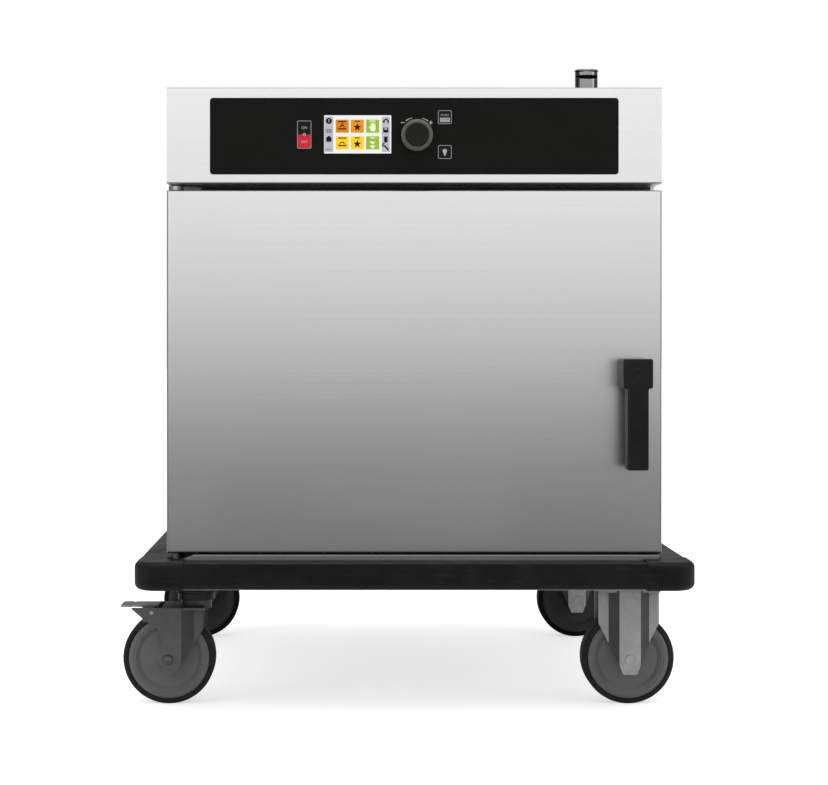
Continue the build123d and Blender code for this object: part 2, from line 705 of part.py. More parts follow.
with BuildPart() as door_outer_panel:
    block((-HALF, HALF), (0, DOOR_T - SHEET), DOOR_Z)
    fillet(door_outer_panel.edges().group_by(Axis.Y)[0], 2.5)
    block(
        (-HALF + SHEET, HALF - SHEET),
        (SHEET, DOOR_T - SHEET),
        (DOOR_Z[0] + SHEET, DOOR_Z[1] - SHEET),
        mode=Mode.SUBTRACT,
    )
    rod((*PIVOT, DOOR_Z[0]), UP, PIN_R, DOOR_Z[1] - DOOR_Z[0], mode=Mode.SUBTRACT)
    rod((HANDLE[0], 0, HANDLE[1]), REAR, SPINDLE_R + 1, SHEET, mode=Mode.SUBTRACT)
save(door_outer_panel, "door_outer_panel")

with BuildPart() as door_inner_panel:
    block((-HALF, HALF), (DOOR_T - SHEET, DOOR_T), DOOR_Z)
    rod((HANDLE[0], DOOR_T - SHEET, HANDLE[1]), REAR, SPINDLE_R + 1, SHEET, mode=Mode.SUBTRACT)
save(door_inner_panel, "door_inner_panel")

GASKET_INNER = MOUTH + 1
GASKET_WIDTH = 9.0

with BuildPart() as door_gasket:
    height = CHAMBER_Z[1] - CHAMBER_Z[0] + 2
    with BuildSketch(front_plane(BODY_FRONT - 0.4)):
        with Locations((0, sum(CHAMBER_Z) / 2)):
            RectangleRounded(2 * (GASKET_INNER + GASKET_WIDTH), height + 2 * GASKET_WIDTH, 26)
            RectangleRounded(2 * GASKET_INNER, height, 17, mode=Mode.SUBTRACT)
    extrude(amount=BODY_FRONT - 0.4 - DOOR_T)
    chamfer(door_gasket.faces().sort_by(Axis.Y)[-1].edges(), 1.5)
save(door_gasket, "door_gasket")

with BuildPart() as pivot_pins:
    rod((*PIVOT, DOOR_Z[1] - SHEET - 14), UP, PIN_R, UPPER_BRACKET_Z[1] - DOOR_Z[1] + SHEET + 14)
    rod((*PIVOT, DOOR_Z[1] - SHEET - 14), UP, 8, 14)
    rod((*PIVOT, LOWER_BRACKET_Z[0] - 2), UP, PIN_R, DOOR_Z[0] + SHEET + 14 - LOWER_BRACKET_Z[0] + 2)
    rod((*PIVOT, LOWER_BRACKET_Z[1] + 0.3), UP, 7.5, DOOR_Z[0] - LOWER_BRACKET_Z[1] - 0.3)
    rod((*PIVOT, DOOR_Z[0] + SHEET), UP, 8, 14)
save(pivot_pins, "pivot_pins")

with BuildPart() as handle_base:
    with BuildSketch(front_plane(0)):
        with Locations(HANDLE):
            RectangleRounded(HANDLE_SQUARE, HANDLE_SQUARE, 4)
    extrude(amount=HANDLE_BASE_T)
    rod((HANDLE[0], 0, HANDLE[1]), AHEAD, SPINDLE_R + RUN, HANDLE_BASE_T, mode=Mode.SUBTRACT)
save(handle_base, "handle_base")

LEVER_BACK = -HANDLE_BASE_T - 0.4

with BuildPart() as handle_lever:
    with BuildSketch(front_plane(LEVER_BACK)) as outline:
        with Locations(HANDLE):
            Rectangle(HANDLE_SQUARE, HANDLE_SQUARE)
        middle_z = (GRIP_BOTTOM + HANDLE[1]) / 2
        with Locations((HANDLE[0], middle_z)):
            Rectangle(GRIP_WIDTH, HANDLE[1] - GRIP_BOTTOM)
        fillet(outline.vertices(), 2.5)
    extrude(amount=HANDLE_FRONT + LEVER_BACK)
    fillet(handle_lever.faces().sort_by(Axis.Y)[0].edges(), 2)
    rod((HANDLE[0], LEVER_BACK, HANDLE[1]), AHEAD, SPINDLE_R, 18, mode=Mode.SUBTRACT)
save(handle_lever, "handle_lever")

with BuildPart() as latch_tongue:
    length, height, thickness = TONGUE
    rod((HANDLE[0], LEVER_BACK - 18, HANDLE[1]), REAR, SPINDLE_R, 64.5 + thickness - LEVER_BACK + 18)
    block(
        (HANDLE[0] - length / 2, HANDLE[0] + length / 2),
        (64.5, 64.5 + thickness),
        (HANDLE[1] - height / 2, HANDLE[1] + height / 2),
    )
save(latch_tongue, "latch_tongue")

# -------------------------------------------------------------------------- castors


def castor_plate(x, y):
    """The mounting plate of a castor, in the part in hand."""
    length, width, thickness = CASTOR_PLATE
    block(
        (x - length / 2, x + length / 2),
        (y - width / 2, y + width / 2),
        (PLATE_BOTTOM, CHASSIS_BOTTOM),
    )
    for step_x in (-1, 1):
        for step_y in (-1, 1):
            place = (x + step_x * BOLT_PITCH[0] / 2, y + step_y * BOLT_PITCH[1] / 2, PLATE_BOTTOM)
            rod(place, UP, BOLT_R + 0.2, thickness, mode=Mode.SUBTRACT)
            countersunk(place, BOLT_R + 0.2, BOLT_HEAD_R + 0.2, mode=Mode.SUBTRACT)


def pressed_legs(y, plan, height):
    """A fork's two legs in the part in hand, each with the same plan; plan is (x, out) places."""
    for side in (-1, 1):
        with BuildSketch(level_plane(LEG_BOTTOM)) as section:
            with BuildLine():
                Polyline(*[(x, y + side * out) for x, out in plan], close=True)
            make_face()
        extrude(section.sketch, amount=height)


SWIVEL_LEG = (-8.5, 18.2)  # the flat strip's edges from the wheel's axle
SWIVEL_WEB = (34.0, 49.0)  # the rear flange's
WING_TIP = -49.0
WING_ARC = 25.0  # the leg's front edge curves into the wing
WEB_END = 106.0
PEDAL_PIN = (-22.0, 126.0)
PEDAL_PIN_R = 2.5
PEDAL_Z = (132.0, 134.4)
ARM_Y = 18.0


def swivel_castor(end, y):
    pivot_x, wheel_x = -AXLE_X, -AXLE_X - TRAIL
    with BuildPart() as plate:
        castor_plate(pivot_x, y)
        rod((pivot_x, y, RACE_Z + 0.4), UP, 25, PLATE_BOTTOM - RACE_Z - 0.4)
        rod((pivot_x, y, CROWN[0] - 6), UP, KINGPIN_R, PLATE_BOTTOM - CROWN[0] + 6)
        rod((pivot_x, y, CROWN[0] - 6), UP, 9, 5.6)
    save(plate, f"swivel_plate_{end}")

    leg_left, leg_right = (wheel_x + edge for edge in SWIVEL_LEG)
    web_left, web_right = (wheel_x + edge for edge in SWIVEL_WEB)
    wing_tip = wheel_x + WING_TIP
    flange_in, strip_in = FLANGE_Y - FORK_SHEET, STRIP_Y - FORK_SHEET
    with BuildPart() as fork:
        # Each leg is a proud flat strip with the axle and a flank that falls back to the
        # flange behind it.
        plan = [
            (wing_tip, STRIP_Y), (leg_right, STRIP_Y), (web_left, FLANGE_Y),
            (web_right - 3, FLANGE_Y), (web_right, FLANGE_Y - 3), (web_right, FLANGE_Y - 4.5),
            (web_right - FORK_SHEET, FLANGE_Y - 4.5), (web_right - FORK_SHEET - 1, flange_in),
            (web_left - 1, flange_in), (leg_right - 1, strip_in), (wing_tip, strip_in),
        ]
        pressed_legs(y, plan, CROWN[1] - LEG_BOTTOM)
        block((leg_left, web_right), (y - strip_in - 1, y + strip_in + 1), CROWN)
        with BuildSketch(front_plane(y + STRIP_Y)) as keep:
            with BuildLine():
                first = Polyline(
                    (wing_tip, CROWN[1] - 1.5),
                    (wing_tip, CROWN[1]),
                    (web_right, CROWN[1]),
                    (web_right, WEB_END),
                    (leg_right - 9.2, LEG_BOTTOM),
                    (leg_left + 3, LEG_BOTTOM),
                    (leg_left, LEG_BOTTOM + 3),
                    (leg_left, 89),
                )
                slanting = WING_ARC * sin(radians(45))
                ThreePointArc(
                    first @ 1,
                    (leg_left - WING_ARC + slanting, 89 + slanting),
                    (leg_left - WING_ARC, 89 + WING_ARC),
                )
                Polyline(
                    (leg_left - WING_ARC, 89 + WING_ARC),
                    (leg_left - WING_ARC - 1.5, 119),
                    first @ 0,
                )
            make_face()
        extrude(keep.sketch, amount=2 * STRIP_Y, mode=Mode.INTERSECT)
        rod((pivot_x, y, CROWN[0]), UP, 21, RACE_Z - CROWN[0])
        rod((pivot_x, y, CROWN[0]), UP, KINGPIN_R + RUN, RACE_Z - CROWN[0], mode=Mode.SUBTRACT)
        rod((wheel_x, y - STRIP_Y, WHEEL_R), REAR, AXLE_R, 2 * STRIP_Y, mode=Mode.SUBTRACT)
        pin_x, pin_z = wheel_x + PEDAL_PIN[0], PEDAL_PIN[1]
        rod((pin_x, y - STRIP_Y, pin_z), REAR, PEDAL_PIN_R + RUN, 2 * STRIP_Y, mode=Mode.SUBTRACT)
    save(fork, f"swivel_fork_{end}")

    with BuildPart() as swivel_axle:
        axle(wheel_x, y)
    save(swivel_axle, f"swivel_axle_{end}")

    with BuildPart() as pedal:
        block((wheel_x - PEDAL_TIP, wheel_x + WING_TIP - 3), (y - 22, y + 22), PEDAL_Z)
        fillet(pedal.edges().filter_by(Axis.Z).group_by(Axis.X)[0], 5)
        block((wheel_x + WING_TIP - 4, wheel_x - 14), (y - ARM_Y, y + ARM_Y), PEDAL_Z)
        block((pin_x - 3.5, pin_x + 3.5), (y - ARM_Y, y + ARM_Y), (pin_z - 2.6, PEDAL_Z[1] - 1))
        rod((pin_x, y - STRIP_Y, pin_z), REAR, PEDAL_PIN_R, 2 * STRIP_Y)
    save(pedal, f"brake_pedal_{end}")


FIXED_STRIP = 14.4  # half widths, and the heights where the fixed fork's outline turns
FIXED_FLANGE = (27.5, 41.0)
FIXED_TURNS = {9.2: LEG_BOTTOM, FIXED_STRIP: 55.0, FIXED_FLANGE[0]: 84.0, FIXED_FLANGE[1]: 110.0}
FIXED_CROWN = 4.0


def fixed_castor(end, y):
    x = AXLE_X
    flange_in, strip_in = FLANGE_Y - FORK_SHEET, STRIP_Y - FORK_SHEET
    inner, outer = FIXED_FLANGE
    with BuildPart() as fork:
        # A hat section: a proud strip, two flanks that fall back from it and two flanges.
        right = [(FIXED_STRIP, STRIP_Y), (inner, FLANGE_Y), (outer, FLANGE_Y)]
        back = [(outer, flange_in), (inner - 1.2, flange_in), (FIXED_STRIP - 1.2, strip_in)]
        half_plan = right + back
        plan = [(x - out, depth) for out, depth in right[::-1]]
        plan += [(x + out, depth) for out, depth in half_plan]
        plan += [(x - out, depth) for out, depth in back[::-1]]
        pressed_legs(y, plan, PLATE_BOTTOM - LEG_BOTTOM)
        with BuildSketch(front_plane(y + STRIP_Y)) as keep:
            with BuildLine():
                turns = list(FIXED_TURNS.items())
                edge = [(outer, PLATE_BOTTOM)] + turns[::-1]
                Polyline(
                    *[(x - out, z) for out, z in edge],
                    *[(x + out, z) for out, z in edge[::-1]],
                    close=True,
                )
            make_face()
        extrude(keep.sketch, amount=2 * STRIP_Y, mode=Mode.INTERSECT)
        block(
            (x - outer, x + outer),
            (y - strip_in, y + strip_in),
            (PLATE_BOTTOM - FIXED_CROWN, PLATE_BOTTOM),
        )
        rod((x, y - STRIP_Y, WHEEL_R), REAR, AXLE_R, 2 * STRIP_Y, mode=Mode.SUBTRACT)
        castor_plate(x, y)
    save(fork, f"fixed_fork_{end}")


def wheel(label, x, y):
    """A tyre and its rim, each turned about the axle."""
    axle_line = Axis(at(x, y, WHEEL_R), REAR)
    half = WHEEL_W / 2
    with BuildPart() as tyre:
        with BuildSketch(side_plane(x)) as section:
            with Locations((y, WHEEL_R + (WHEEL_R + RIM_R) / 2)):
                Rectangle(WHEEL_W, WHEEL_R - RIM_R)
            fillet(section.vertices().group_by(Axis.Z)[-1], 3.5)
        revolve(axis=axle_line, revolution_arc=360)
    save(tyre, f"tyre_{label}")
    hub, web = STRIP_Y - FORK_SHEET - 0.4, half - 4
    bore = AXLE_R + RUN
    with BuildPart() as rim:
        with BuildSketch(side_plane(x)):
            with BuildLine():
                Polyline(
                    *[
                        (y + across, WHEEL_R + out)
                        for across, out in (
                            (-half, RIM_R), (half, RIM_R), (half, 46), (half - 1.2, 44), (web, 40),
                            (web, 19), (FLANGE_Y, 13), (hub, 10), (hub, bore), (-hub, bore), (-hub, 10),
                            (-FLANGE_Y, 13), (-web, 19), (-web, 40), (1.2 - half, 44), (-half, 46),
                        )
                    ],
                    close=True,
                )
            make_face()
        revolve(axis=axle_line, revolution_arc=360)
    save(rim, f"rim_{label}")


for end, axle_y in AXLES_Y.items():
    swivel_castor(end, axle_y)
    fixed_castor(end, axle_y)
    wheel(f"{end}_left", -AXLE_X - TRAIL, axle_y)
    wheel(f"{end}_right", AXLE_X, axle_y)
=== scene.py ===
import math

import bmesh
import bpy
from mathutils import Matrix, Vector


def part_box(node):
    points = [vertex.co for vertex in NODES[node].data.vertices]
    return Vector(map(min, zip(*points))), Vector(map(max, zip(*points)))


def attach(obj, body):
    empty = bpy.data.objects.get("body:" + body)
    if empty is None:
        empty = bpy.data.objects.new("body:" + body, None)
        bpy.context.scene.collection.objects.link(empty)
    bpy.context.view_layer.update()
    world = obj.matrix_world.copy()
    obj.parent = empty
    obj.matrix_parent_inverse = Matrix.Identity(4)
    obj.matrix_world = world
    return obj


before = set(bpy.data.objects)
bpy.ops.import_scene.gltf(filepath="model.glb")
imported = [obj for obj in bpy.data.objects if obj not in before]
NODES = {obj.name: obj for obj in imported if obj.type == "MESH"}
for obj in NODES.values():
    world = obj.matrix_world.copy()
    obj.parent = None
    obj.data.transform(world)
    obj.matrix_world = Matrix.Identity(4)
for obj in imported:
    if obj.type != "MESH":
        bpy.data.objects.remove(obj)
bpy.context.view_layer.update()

# A combi steamer oven on castors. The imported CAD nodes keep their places; this script gives
# each of them a worked-out surface and adds the small pieces that CAD leaves out.
# Metres throughout; MM turns millimetres into them.

MM = 0.001


def middle(node):
    """The middle of a CAD node's box."""
    low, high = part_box(node)
    return (low + high) / 2


# ---------------------------------------------------------------------------- surfaces


class Surface:
    """A material made round one Principled shader, with patterns in object coordinates."""

    def __init__(self, name, color, metallic=0.0, roughness=0.5, **sockets):
        self.material = bpy.data.materials.new(name)
        self.material.use_nodes = True
        tree = self.material.node_tree
        self.nodes, self.links = tree.nodes, tree.links
        self.shader = self.nodes["Principled BSDF"]
        self.set("Base Color", (*color, 1.0))
        self.set("Metallic", metallic)
        self.set("Roughness", roughness)
        for socket, value in sockets.items():
            self.set(socket.replace("_", " "), value)
        own = self.nodes.new("ShaderNodeTexCoord").outputs
        self.where, self.square = own["Object"], own["Normal"]
        self.normal = None
        self.material.diffuse_color = (*color, 1.0)

    def set(self, socket, value):
        self.shader.inputs[socket].default_value = value

    def link(self, source, target):
        self.links.new(source, target)

    def stretched(self, stretch):
        """Object coordinates in metres, each multiplied by its own factor."""
        mapping = self.nodes.new("ShaderNodeMapping")
        mapping.inputs["Scale"].default_value = stretch
        self.link(self.where, mapping.inputs["Vector"])
        return mapping.outputs["Vector"]

    def noise(self, scale, detail=3.0, stretch=(1, 1, 1), distortion=0.0):
        """Smooth noise from 0 to 1 with so many features a metre."""
        texture = self.nodes.new("ShaderNodeTexNoise")
        texture.inputs["Scale"].default_value = scale
        texture.inputs["Detail"].default_value = detail
        texture.inputs["Distortion"].default_value = distortion
        self.link(self.stretched(stretch), texture.inputs["Vector"])
        return texture.outputs["Fac"]

    def cells(self, scale):
        """The distance to the nearest of scattered points."""
        texture = self.nodes.new("ShaderNodeTexVoronoi")
        texture.inputs["Scale"].default_value = scale
        self.link(self.where, texture.inputs["Vector"])
        return texture.outputs["Distance"]

    def spread(self, value, low, high, start=0.3, end=0.7):
        """Maps start..end of a pattern to low..high."""
        ranger = self.nodes.new("ShaderNodeMapRange")
        for socket, number in zip(ranger.inputs[1:5], (start, end, low, high)):
            socket.default_value = number
        self.link(value, ranger.inputs["Value"])
        return ranger.outputs["Result"]

    def mix(self, factor, first, second):
        """A number between first and second; each is a socket or a number."""
        mixer = self.nodes.new("ShaderNodeMix")
        self.link(factor, mixer.inputs["Factor"])
        for socket, value in ((mixer.inputs["A"], first), (mixer.inputs["B"], second)):
            if isinstance(value, (int, float)):
                socket.default_value = value
            else:
                self.link(value, socket)
        return mixer.outputs["Result"]

    def tint(self, factor, first, second):
        """A colour between two, either of them a colour or a colour socket."""
        mixer = self.nodes.new("ShaderNodeMixRGB")
        self.link(factor, mixer.inputs["Fac"])
        for socket, value in ((mixer.inputs["Color1"], first), (mixer.inputs["Color2"], second)):
            if isinstance(value, tuple):
                socket.default_value = (*value, 1.0)
            else:
                self.link(value, socket)
        return mixer.outputs["Color"]

    def facing(self, axis, start=0.45, end=0.6):
        """1 where the surface faces along the axis, 0 where it is square to it."""
        split = self.nodes.new("ShaderNodeSeparateXYZ")
        self.link(self.square, split.inputs[0])
        size = self.nodes.new("ShaderNodeMath")
        size.operation = "ABSOLUTE"
        self.link(split.outputs[axis], size.inputs[0])
        return self.spread(size.outputs[0], 0.0, 1.0, start, end)

    def flatness(self):
        """1 on faces square to an axis, 0 on the bends between them."""
        size = self.nodes.new("ShaderNodeVectorMath")
        size.operation = "ABSOLUTE"
        self.link(self.square, size.inputs[0])
        split = self.nodes.new("ShaderNodeSeparateXYZ")
        self.link(size.outputs[0], split.inputs[0])
        largest = split.outputs["X"]
        for axis in ("Y", "Z"):
            greater = self.nodes.new("ShaderNodeMath")
            greater.operation = "MAXIMUM"
            self.link(largest, greater.inputs[0])
            self.link(split.outputs[axis], greater.inputs[1])
            largest = greater.outputs[0]
        return self.spread(largest, 0.0, 1.0, 0.9, 0.995)

    def hollows(self, reach):
        """1 on open faces, towards 0 in hollows no wider than the reach."""
        shut = self.nodes.new("ShaderNodeAmbientOcclusion")
        shut.samples = 4
        shut.inputs["Distance"].default_value = reach
        return shut.outputs["AO"]

    def paint(self, source):
        self.link(source, self.shader.inputs["Base Color"])

    def gloss(self, source):
        self.link(source, self.shader.inputs["Roughness"])

    def soften(self, radius):
        """Rounds the sharp edges in the shading."""
        bevel = self.nodes.new("ShaderNodeBevel")
        bevel.samples = 4
        bevel.inputs["Radius"].default_value = radius
        self.normal = bevel.outputs["Normal"]
        self.link(self.normal, self.shader.inputs["Normal"])

    def relief(self, height, strength, distance):
        """A fine relief on top of whatever the normal is already."""
        bump = self.nodes.new("ShaderNodeBump")
        bump.inputs["Strength"].default_value = strength
        bump.inputs["Distance"].default_value = distance
        self.link(height, bump.inputs["Height"])
        if self.normal is not None:
            self.link(self.normal, bump.inputs["Normal"])
        self.normal = bump.outputs["Normal"]
        self.link(self.normal, self.shader.inputs["Normal"])


def darker(color, share):
    return tuple(channel * share for channel in color)


def brushed_steel(name, tone, roughness=0.26, grain=1.0, edge=0.4 * MM, smudges=0.05):
    """Stainless sheet, its grain level on upright faces and front to back on flat ones."""
    color = (tone, tone, tone * 1.005)
    steel = Surface(name, color, metallic=1.0, roughness=roughness, Anisotropic=0.35)
    fine = steel.noise(1.0, 2, (4, 4, 1600))
    coarse = steel.noise(1.0, 3, (1.5, 1.5, 330))
    fine_flat = steel.noise(1.0, 2, (1600, 4, 4))
    coarse_flat = steel.noise(1.0, 3, (330, 1.5, 1.5))
    flat = steel.facing("Z")
    fine = steel.mix(flat, fine, fine_flat)
    coarse = steel.mix(flat, coarse, coarse_flat)
    cloud = steel.noise(5, 4, distortion=0.6)
    grained = steel.tint(steel.spread(coarse, 0.0, 1.0), darker(color, 1 - 0.05 * grain), color)
    handled = steel.tint(steel.spread(cloud, 0.0, 0.35), grained, darker(color, 0.93))
    # Painted shade: the bends between flat faces are darkened to 0.3 of the tone.
    steel.paint(steel.tint(steel.flatness(), darker(color, 0.3), handled))
    streaks = steel.spread(fine, roughness - 0.05 * grain, roughness + 0.05 * grain)
    steel.gloss(steel.mix(steel.spread(cloud, 0.0, 1.0, 0.45, 0.7), streaks, roughness + smudges))
    steel.soften(edge)
    steel.relief(fine, 0.12 * grain, 0.02 * MM)
    return steel.material


def zinc_plate(name, tone, side_shade, roughness=0.36):
    """Pressed steel under zinc: a faint spangle and a duller bloom. Faces that don't point to
    the front or back get painted shade, a given share of the tone, and hollows a deeper painted shade."""
    color = (tone, tone, tone * 1.01)
    zinc = Surface(name, color, metallic=0.85, roughness=roughness, Specular_IOR_Level=0.25)
    spangle = zinc.cells(160)
    bloom = zinc.noise(28, 4, distortion=1.0)
    scratches = zinc.noise(1.0, 2, (60, 60, 900))
    shade = zinc.tint(zinc.spread(spangle, 0.0, 1.0, 0.1, 0.8), color, darker(color, 0.88))
    shade = zinc.tint(zinc.spread(bloom, 0.0, 0.5), shade, darker(color, 0.75))
    # Painted shade on every face that doesn't point to the front or back.
    shade = zinc.tint(zinc.facing("Y", 0.78, 0.95), darker(color, side_shade), shade)
    # Painted shade in the hollows: ambient occlusion takes them down to 0.06 of the tone.
    open_share = zinc.spread(zinc.hollows(30 * MM), 0.0, 1.0, 0.15, 0.8)
    zinc.paint(zinc.tint(open_share, darker(color, 0.06), shade))
    zinc.gloss(zinc.spread(bloom, roughness - 0.06, roughness + 0.14))
    zinc.soften(0.6 * MM)
    zinc.relief(scratches, 0.1, 0.05 * MM)
    return zinc.material


def chrome():
    """Polished tube with a trace of water marks, with painted shade towards its left and right."""
    tube = Surface("chrome_tube", (0.3, 0.3, 0.3), metallic=1.0, roughness=0.1)
    marks = tube.noise(90, 4)
    tube.gloss(tube.spread(marks, 0.07, 0.2, 0.4, 0.75))
    cloudy = tube.tint(tube.spread(marks, 0, 0.4), (0.3, 0.3, 0.305), (0.22, 0.22, 0.22))
    # Painted shade: faces that don't point to the front or back go down to 0.05.
    tube.paint(tube.tint(tube.facing("Y", 0.55, 0.9), (0.05, 0.05, 0.05), cloudy))
    tube.soften(0.8 * MM)
    return tube.material


def rubber(name, tone, roughness=0.6, grain=900, dust=0.35, specular=0.35):
    """Moulded rubber: a fine pebbled skin, dust in it and paler scuffs."""
    color = (tone, tone, tone * 1.03)
    skin = Surface(name, color, roughness=roughness, Specular_IOR_Level=specular)
    pebbles = skin.noise(grain, 2)
    wear = skin.noise(14, 5, distortion=1.2)
    scuffs = skin.noise(1.0, 3, (30, 30, 260))
    dusted = tuple(3.0 * c + 0.01 for c in color)
    scuffed = tuple(4.0 * c + 0.012 for c in color)
    dusty = skin.tint(skin.spread(wear, 0.0, dust, 0.4, 0.75), color, dusted)
    skin.paint(skin.tint(skin.spread(scuffs, 0.0, 0.3, 0.6, 0.75), dusty, scuffed))
    skin.gloss(skin.spread(wear, roughness - 0.1, min(roughness + 0.12, 1.0)))
    skin.soften(0.6 * MM)
    skin.relief(pebbles, 0.35, 0.08 * MM)
    return skin.material


def moulded_plastic(name, color, roughness=0.4, grain=1400, specular=0.5, depth=0.3):
    """Injection-moulded plastic with a spark-eroded skin."""
    plastic = Surface(name, color, roughness=roughness, Specular_IOR_Level=specular)
    skin = plastic.noise(grain, 2)
    wear = plastic.noise(22, 4, distortion=0.8)
    worn = tuple(1.35 * c + 0.004 for c in color)
    plastic.paint(plastic.tint(plastic.spread(wear, 0.0, 0.5), color, worn))
    plastic.gloss(plastic.spread(wear, roughness - 0.06, roughness + 0.08))
    plastic.soften(0.5 * MM)
    plastic.relief(skin, depth, 0.05 * MM)
    return plastic.material


def black_glass():
    """Glass printed black on its back, with faint wipe marks in its shine."""
    glass = Surface("black_glass", (0.009, 0.009, 0.008), roughness=0.14, Specular_IOR_Level=0.05)
    wipes = glass.noise(7, 5, (1, 1, 2.4), distortion=1.5)
    glass.gloss(glass.spread(wipes, 0.1, 0.22, 0.4, 0.75))
    glass.paint(glass.tint(glass.spread(wipes, 0.0, 0.5), (0.0065, 0.0065, 0.0058), (0.009, 0.009, 0.0083)))
    return glass.material


def lit(name, color, strength=0.75):
    """Part of the lit display: it shines in its own colour over a finely mottled surface."""
    unlit = darker(color, 0.35)
    panel = Surface(name, unlit, roughness=0.25, Specular_IOR_Level=0.1)
    panel.set("Emission Color", (*color, 1.0))
    panel.set("Emission Strength", strength)
    grid = panel.noise(1.0, 0, (2600, 1, 2600))
    panel.paint(panel.tint(panel.spread(grid, 0.0, 0.3), unlit, darker(color, 0.28)))
    return panel.material


def ink(name, color):
    """A screen-printed mark."""
    print_ = Surface(name, color, roughness=0.5)
    print_.paint(print_.tint(print_.spread(print_.noise(1500, 2), 0, 0.3), color, darker(color, 0.8)))
    return print_.material


def painted(name, color, roughness=0.45):
    """Stoved paint with a little orange peel."""
    coat = Surface(name, color, roughness=roughness)
    peel = coat.noise(420, 2)
    wear = coat.noise(30, 4)
    coat.paint(coat.tint(coat.spread(wear, 0, 0.4), color, tuple(1.4 * c + 0.01 for c in color)))
    coat.soften(0.6 * MM)
    coat.relief(peel, 0.2, 0.1 * MM)
    return coat.material


def heat_tinted():
    """A heater's sheath: dull steel turned straw and blue by the heat."""
    sheath = Surface("heat_tinted_steel", (0.3, 0.28, 0.27), metallic=1.0, roughness=0.42)
    bands = sheath.noise(24, 3, distortion=0.8)
    straw = sheath.tint(sheath.spread(bands, 0, 1), (0.34, 0.29, 0.22), (0.24, 0.24, 0.29))
    sheath.paint(straw)
    sheath.gloss(sheath.spread(bands, 0.35, 0.5))
    return sheath.material


def machined_brass():
    """Turned brass with darker tarnish in patches."""
    brass = Surface("machined_brass", (0.72, 0.55, 0.28), metallic=1.0, roughness=0.25)
    turning = brass.noise(1.0, 2, (40, 1500, 40))
    tarnish = brass.noise(60, 4)
    brass.paint(brass.tint(brass.spread(tarnish, 0, 0.6), (0.74, 0.57, 0.3), (0.5, 0.37, 0.17)))
    brass.gloss(brass.spread(turning, 0.2, 0.34))
    brass.soften(0.5 * MM)
    return brass.material


def circuit_board():
    """Green solder mask over a web of tracks."""
    board = Surface("circuit_board", (0.03, 0.16, 0.07), roughness=0.35)
    tracks = board.cells(330)
    board.paint(board.tint(board.spread(tracks, 0, 1, 0.3, 0.4), (0.02, 0.11, 0.045), (0.05, 0.24, 0.1)))
    board.relief(tracks, 0.3, 0.1 * MM)
    return board.material


casing_steel = brushed_steel("casing_steel", 0.78, roughness=0.3, grain=0.7, smudges=0.03)
fascia_steel = brushed_steel("fascia_steel", 0.8, roughness=0.3, grain=0.6)
door_steel = brushed_steel("door_steel", 0.79, roughness=0.22, grain=0.55)
chamber_steel = brushed_steel("chamber_steel", 0.68, roughness=0.3, grain=0.6, smudges=0.12)
frame_steel = brushed_steel("frame_steel", 0.6, roughness=0.36, grain=1.2)
castor_zinc = zinc_plate("castor_zinc", 0.5, 0.16)
# Painted shade: darker copies of the castor zinc for the swivel castors' forks and axles, near black for
# their plates and shrouds.
shaded_fork_zinc = zinc_plate("shaded_fork_zinc", 0.15, 0.5)
deep_shade_head_zinc = zinc_plate("deep_shade_head_zinc", 0.05, 0.5)
tube_chrome = chrome()
bumper_skin = rubber("bumper_rubber", 0.0055, roughness=0.5, dust=0.2, specular=0.14)
gasket_skin = rubber("gasket_rubber", 0.03, roughness=0.55, dust=0.2)
tyre_skin = rubber("tyre_rubber", 0.017, roughness=0.62, dust=0.3, specular=0.12)
rim_skin = moulded_plastic("rim_nylon", (0.12, 0.12, 0.121), roughness=0.5)
# Painted shade: darker copies of the rim and tyre materials for the rear wheels.
shaded_rim_skin = moulded_plastic("shaded_rim_nylon", (0.035, 0.035, 0.0355), roughness=0.5, specular=0.2)
shaded_tyre_skin = rubber("shaded_tyre_rubber", 0.006, roughness=0.62, dust=0.3, specular=0.05)
handle_skin = moulded_plastic("handle_plastic", (0.006, 0.006, 0.006), roughness=0.36, specular=0.2)
gland_skin = moulded_plastic("gland_plastic", (0.02, 0.02, 0.021), roughness=0.45)
knob_skin = moulded_plastic("knob_ring", (0.075, 0.072, 0.065), roughness=0.33, specular=0.3, depth=0.15)
knob_dark = moulded_plastic("knob_cap", (0.008, 0.0075, 0.006), roughness=0.25, specular=0.12, depth=0.1)
key_skin = moulded_plastic("key_cap", (0.006, 0.006, 0.006), roughness=0.3, specular=0.1, depth=0.1)
panel_glass = black_glass()
motor_paint = painted("motor_paint", (0.03, 0.03, 0.033))
sheath_steel = heat_tinted()
brass = machined_brass()
board_green = circuit_board()
screen_white = lit("screen_white", (0.95, 0.95, 0.93), 0.62)

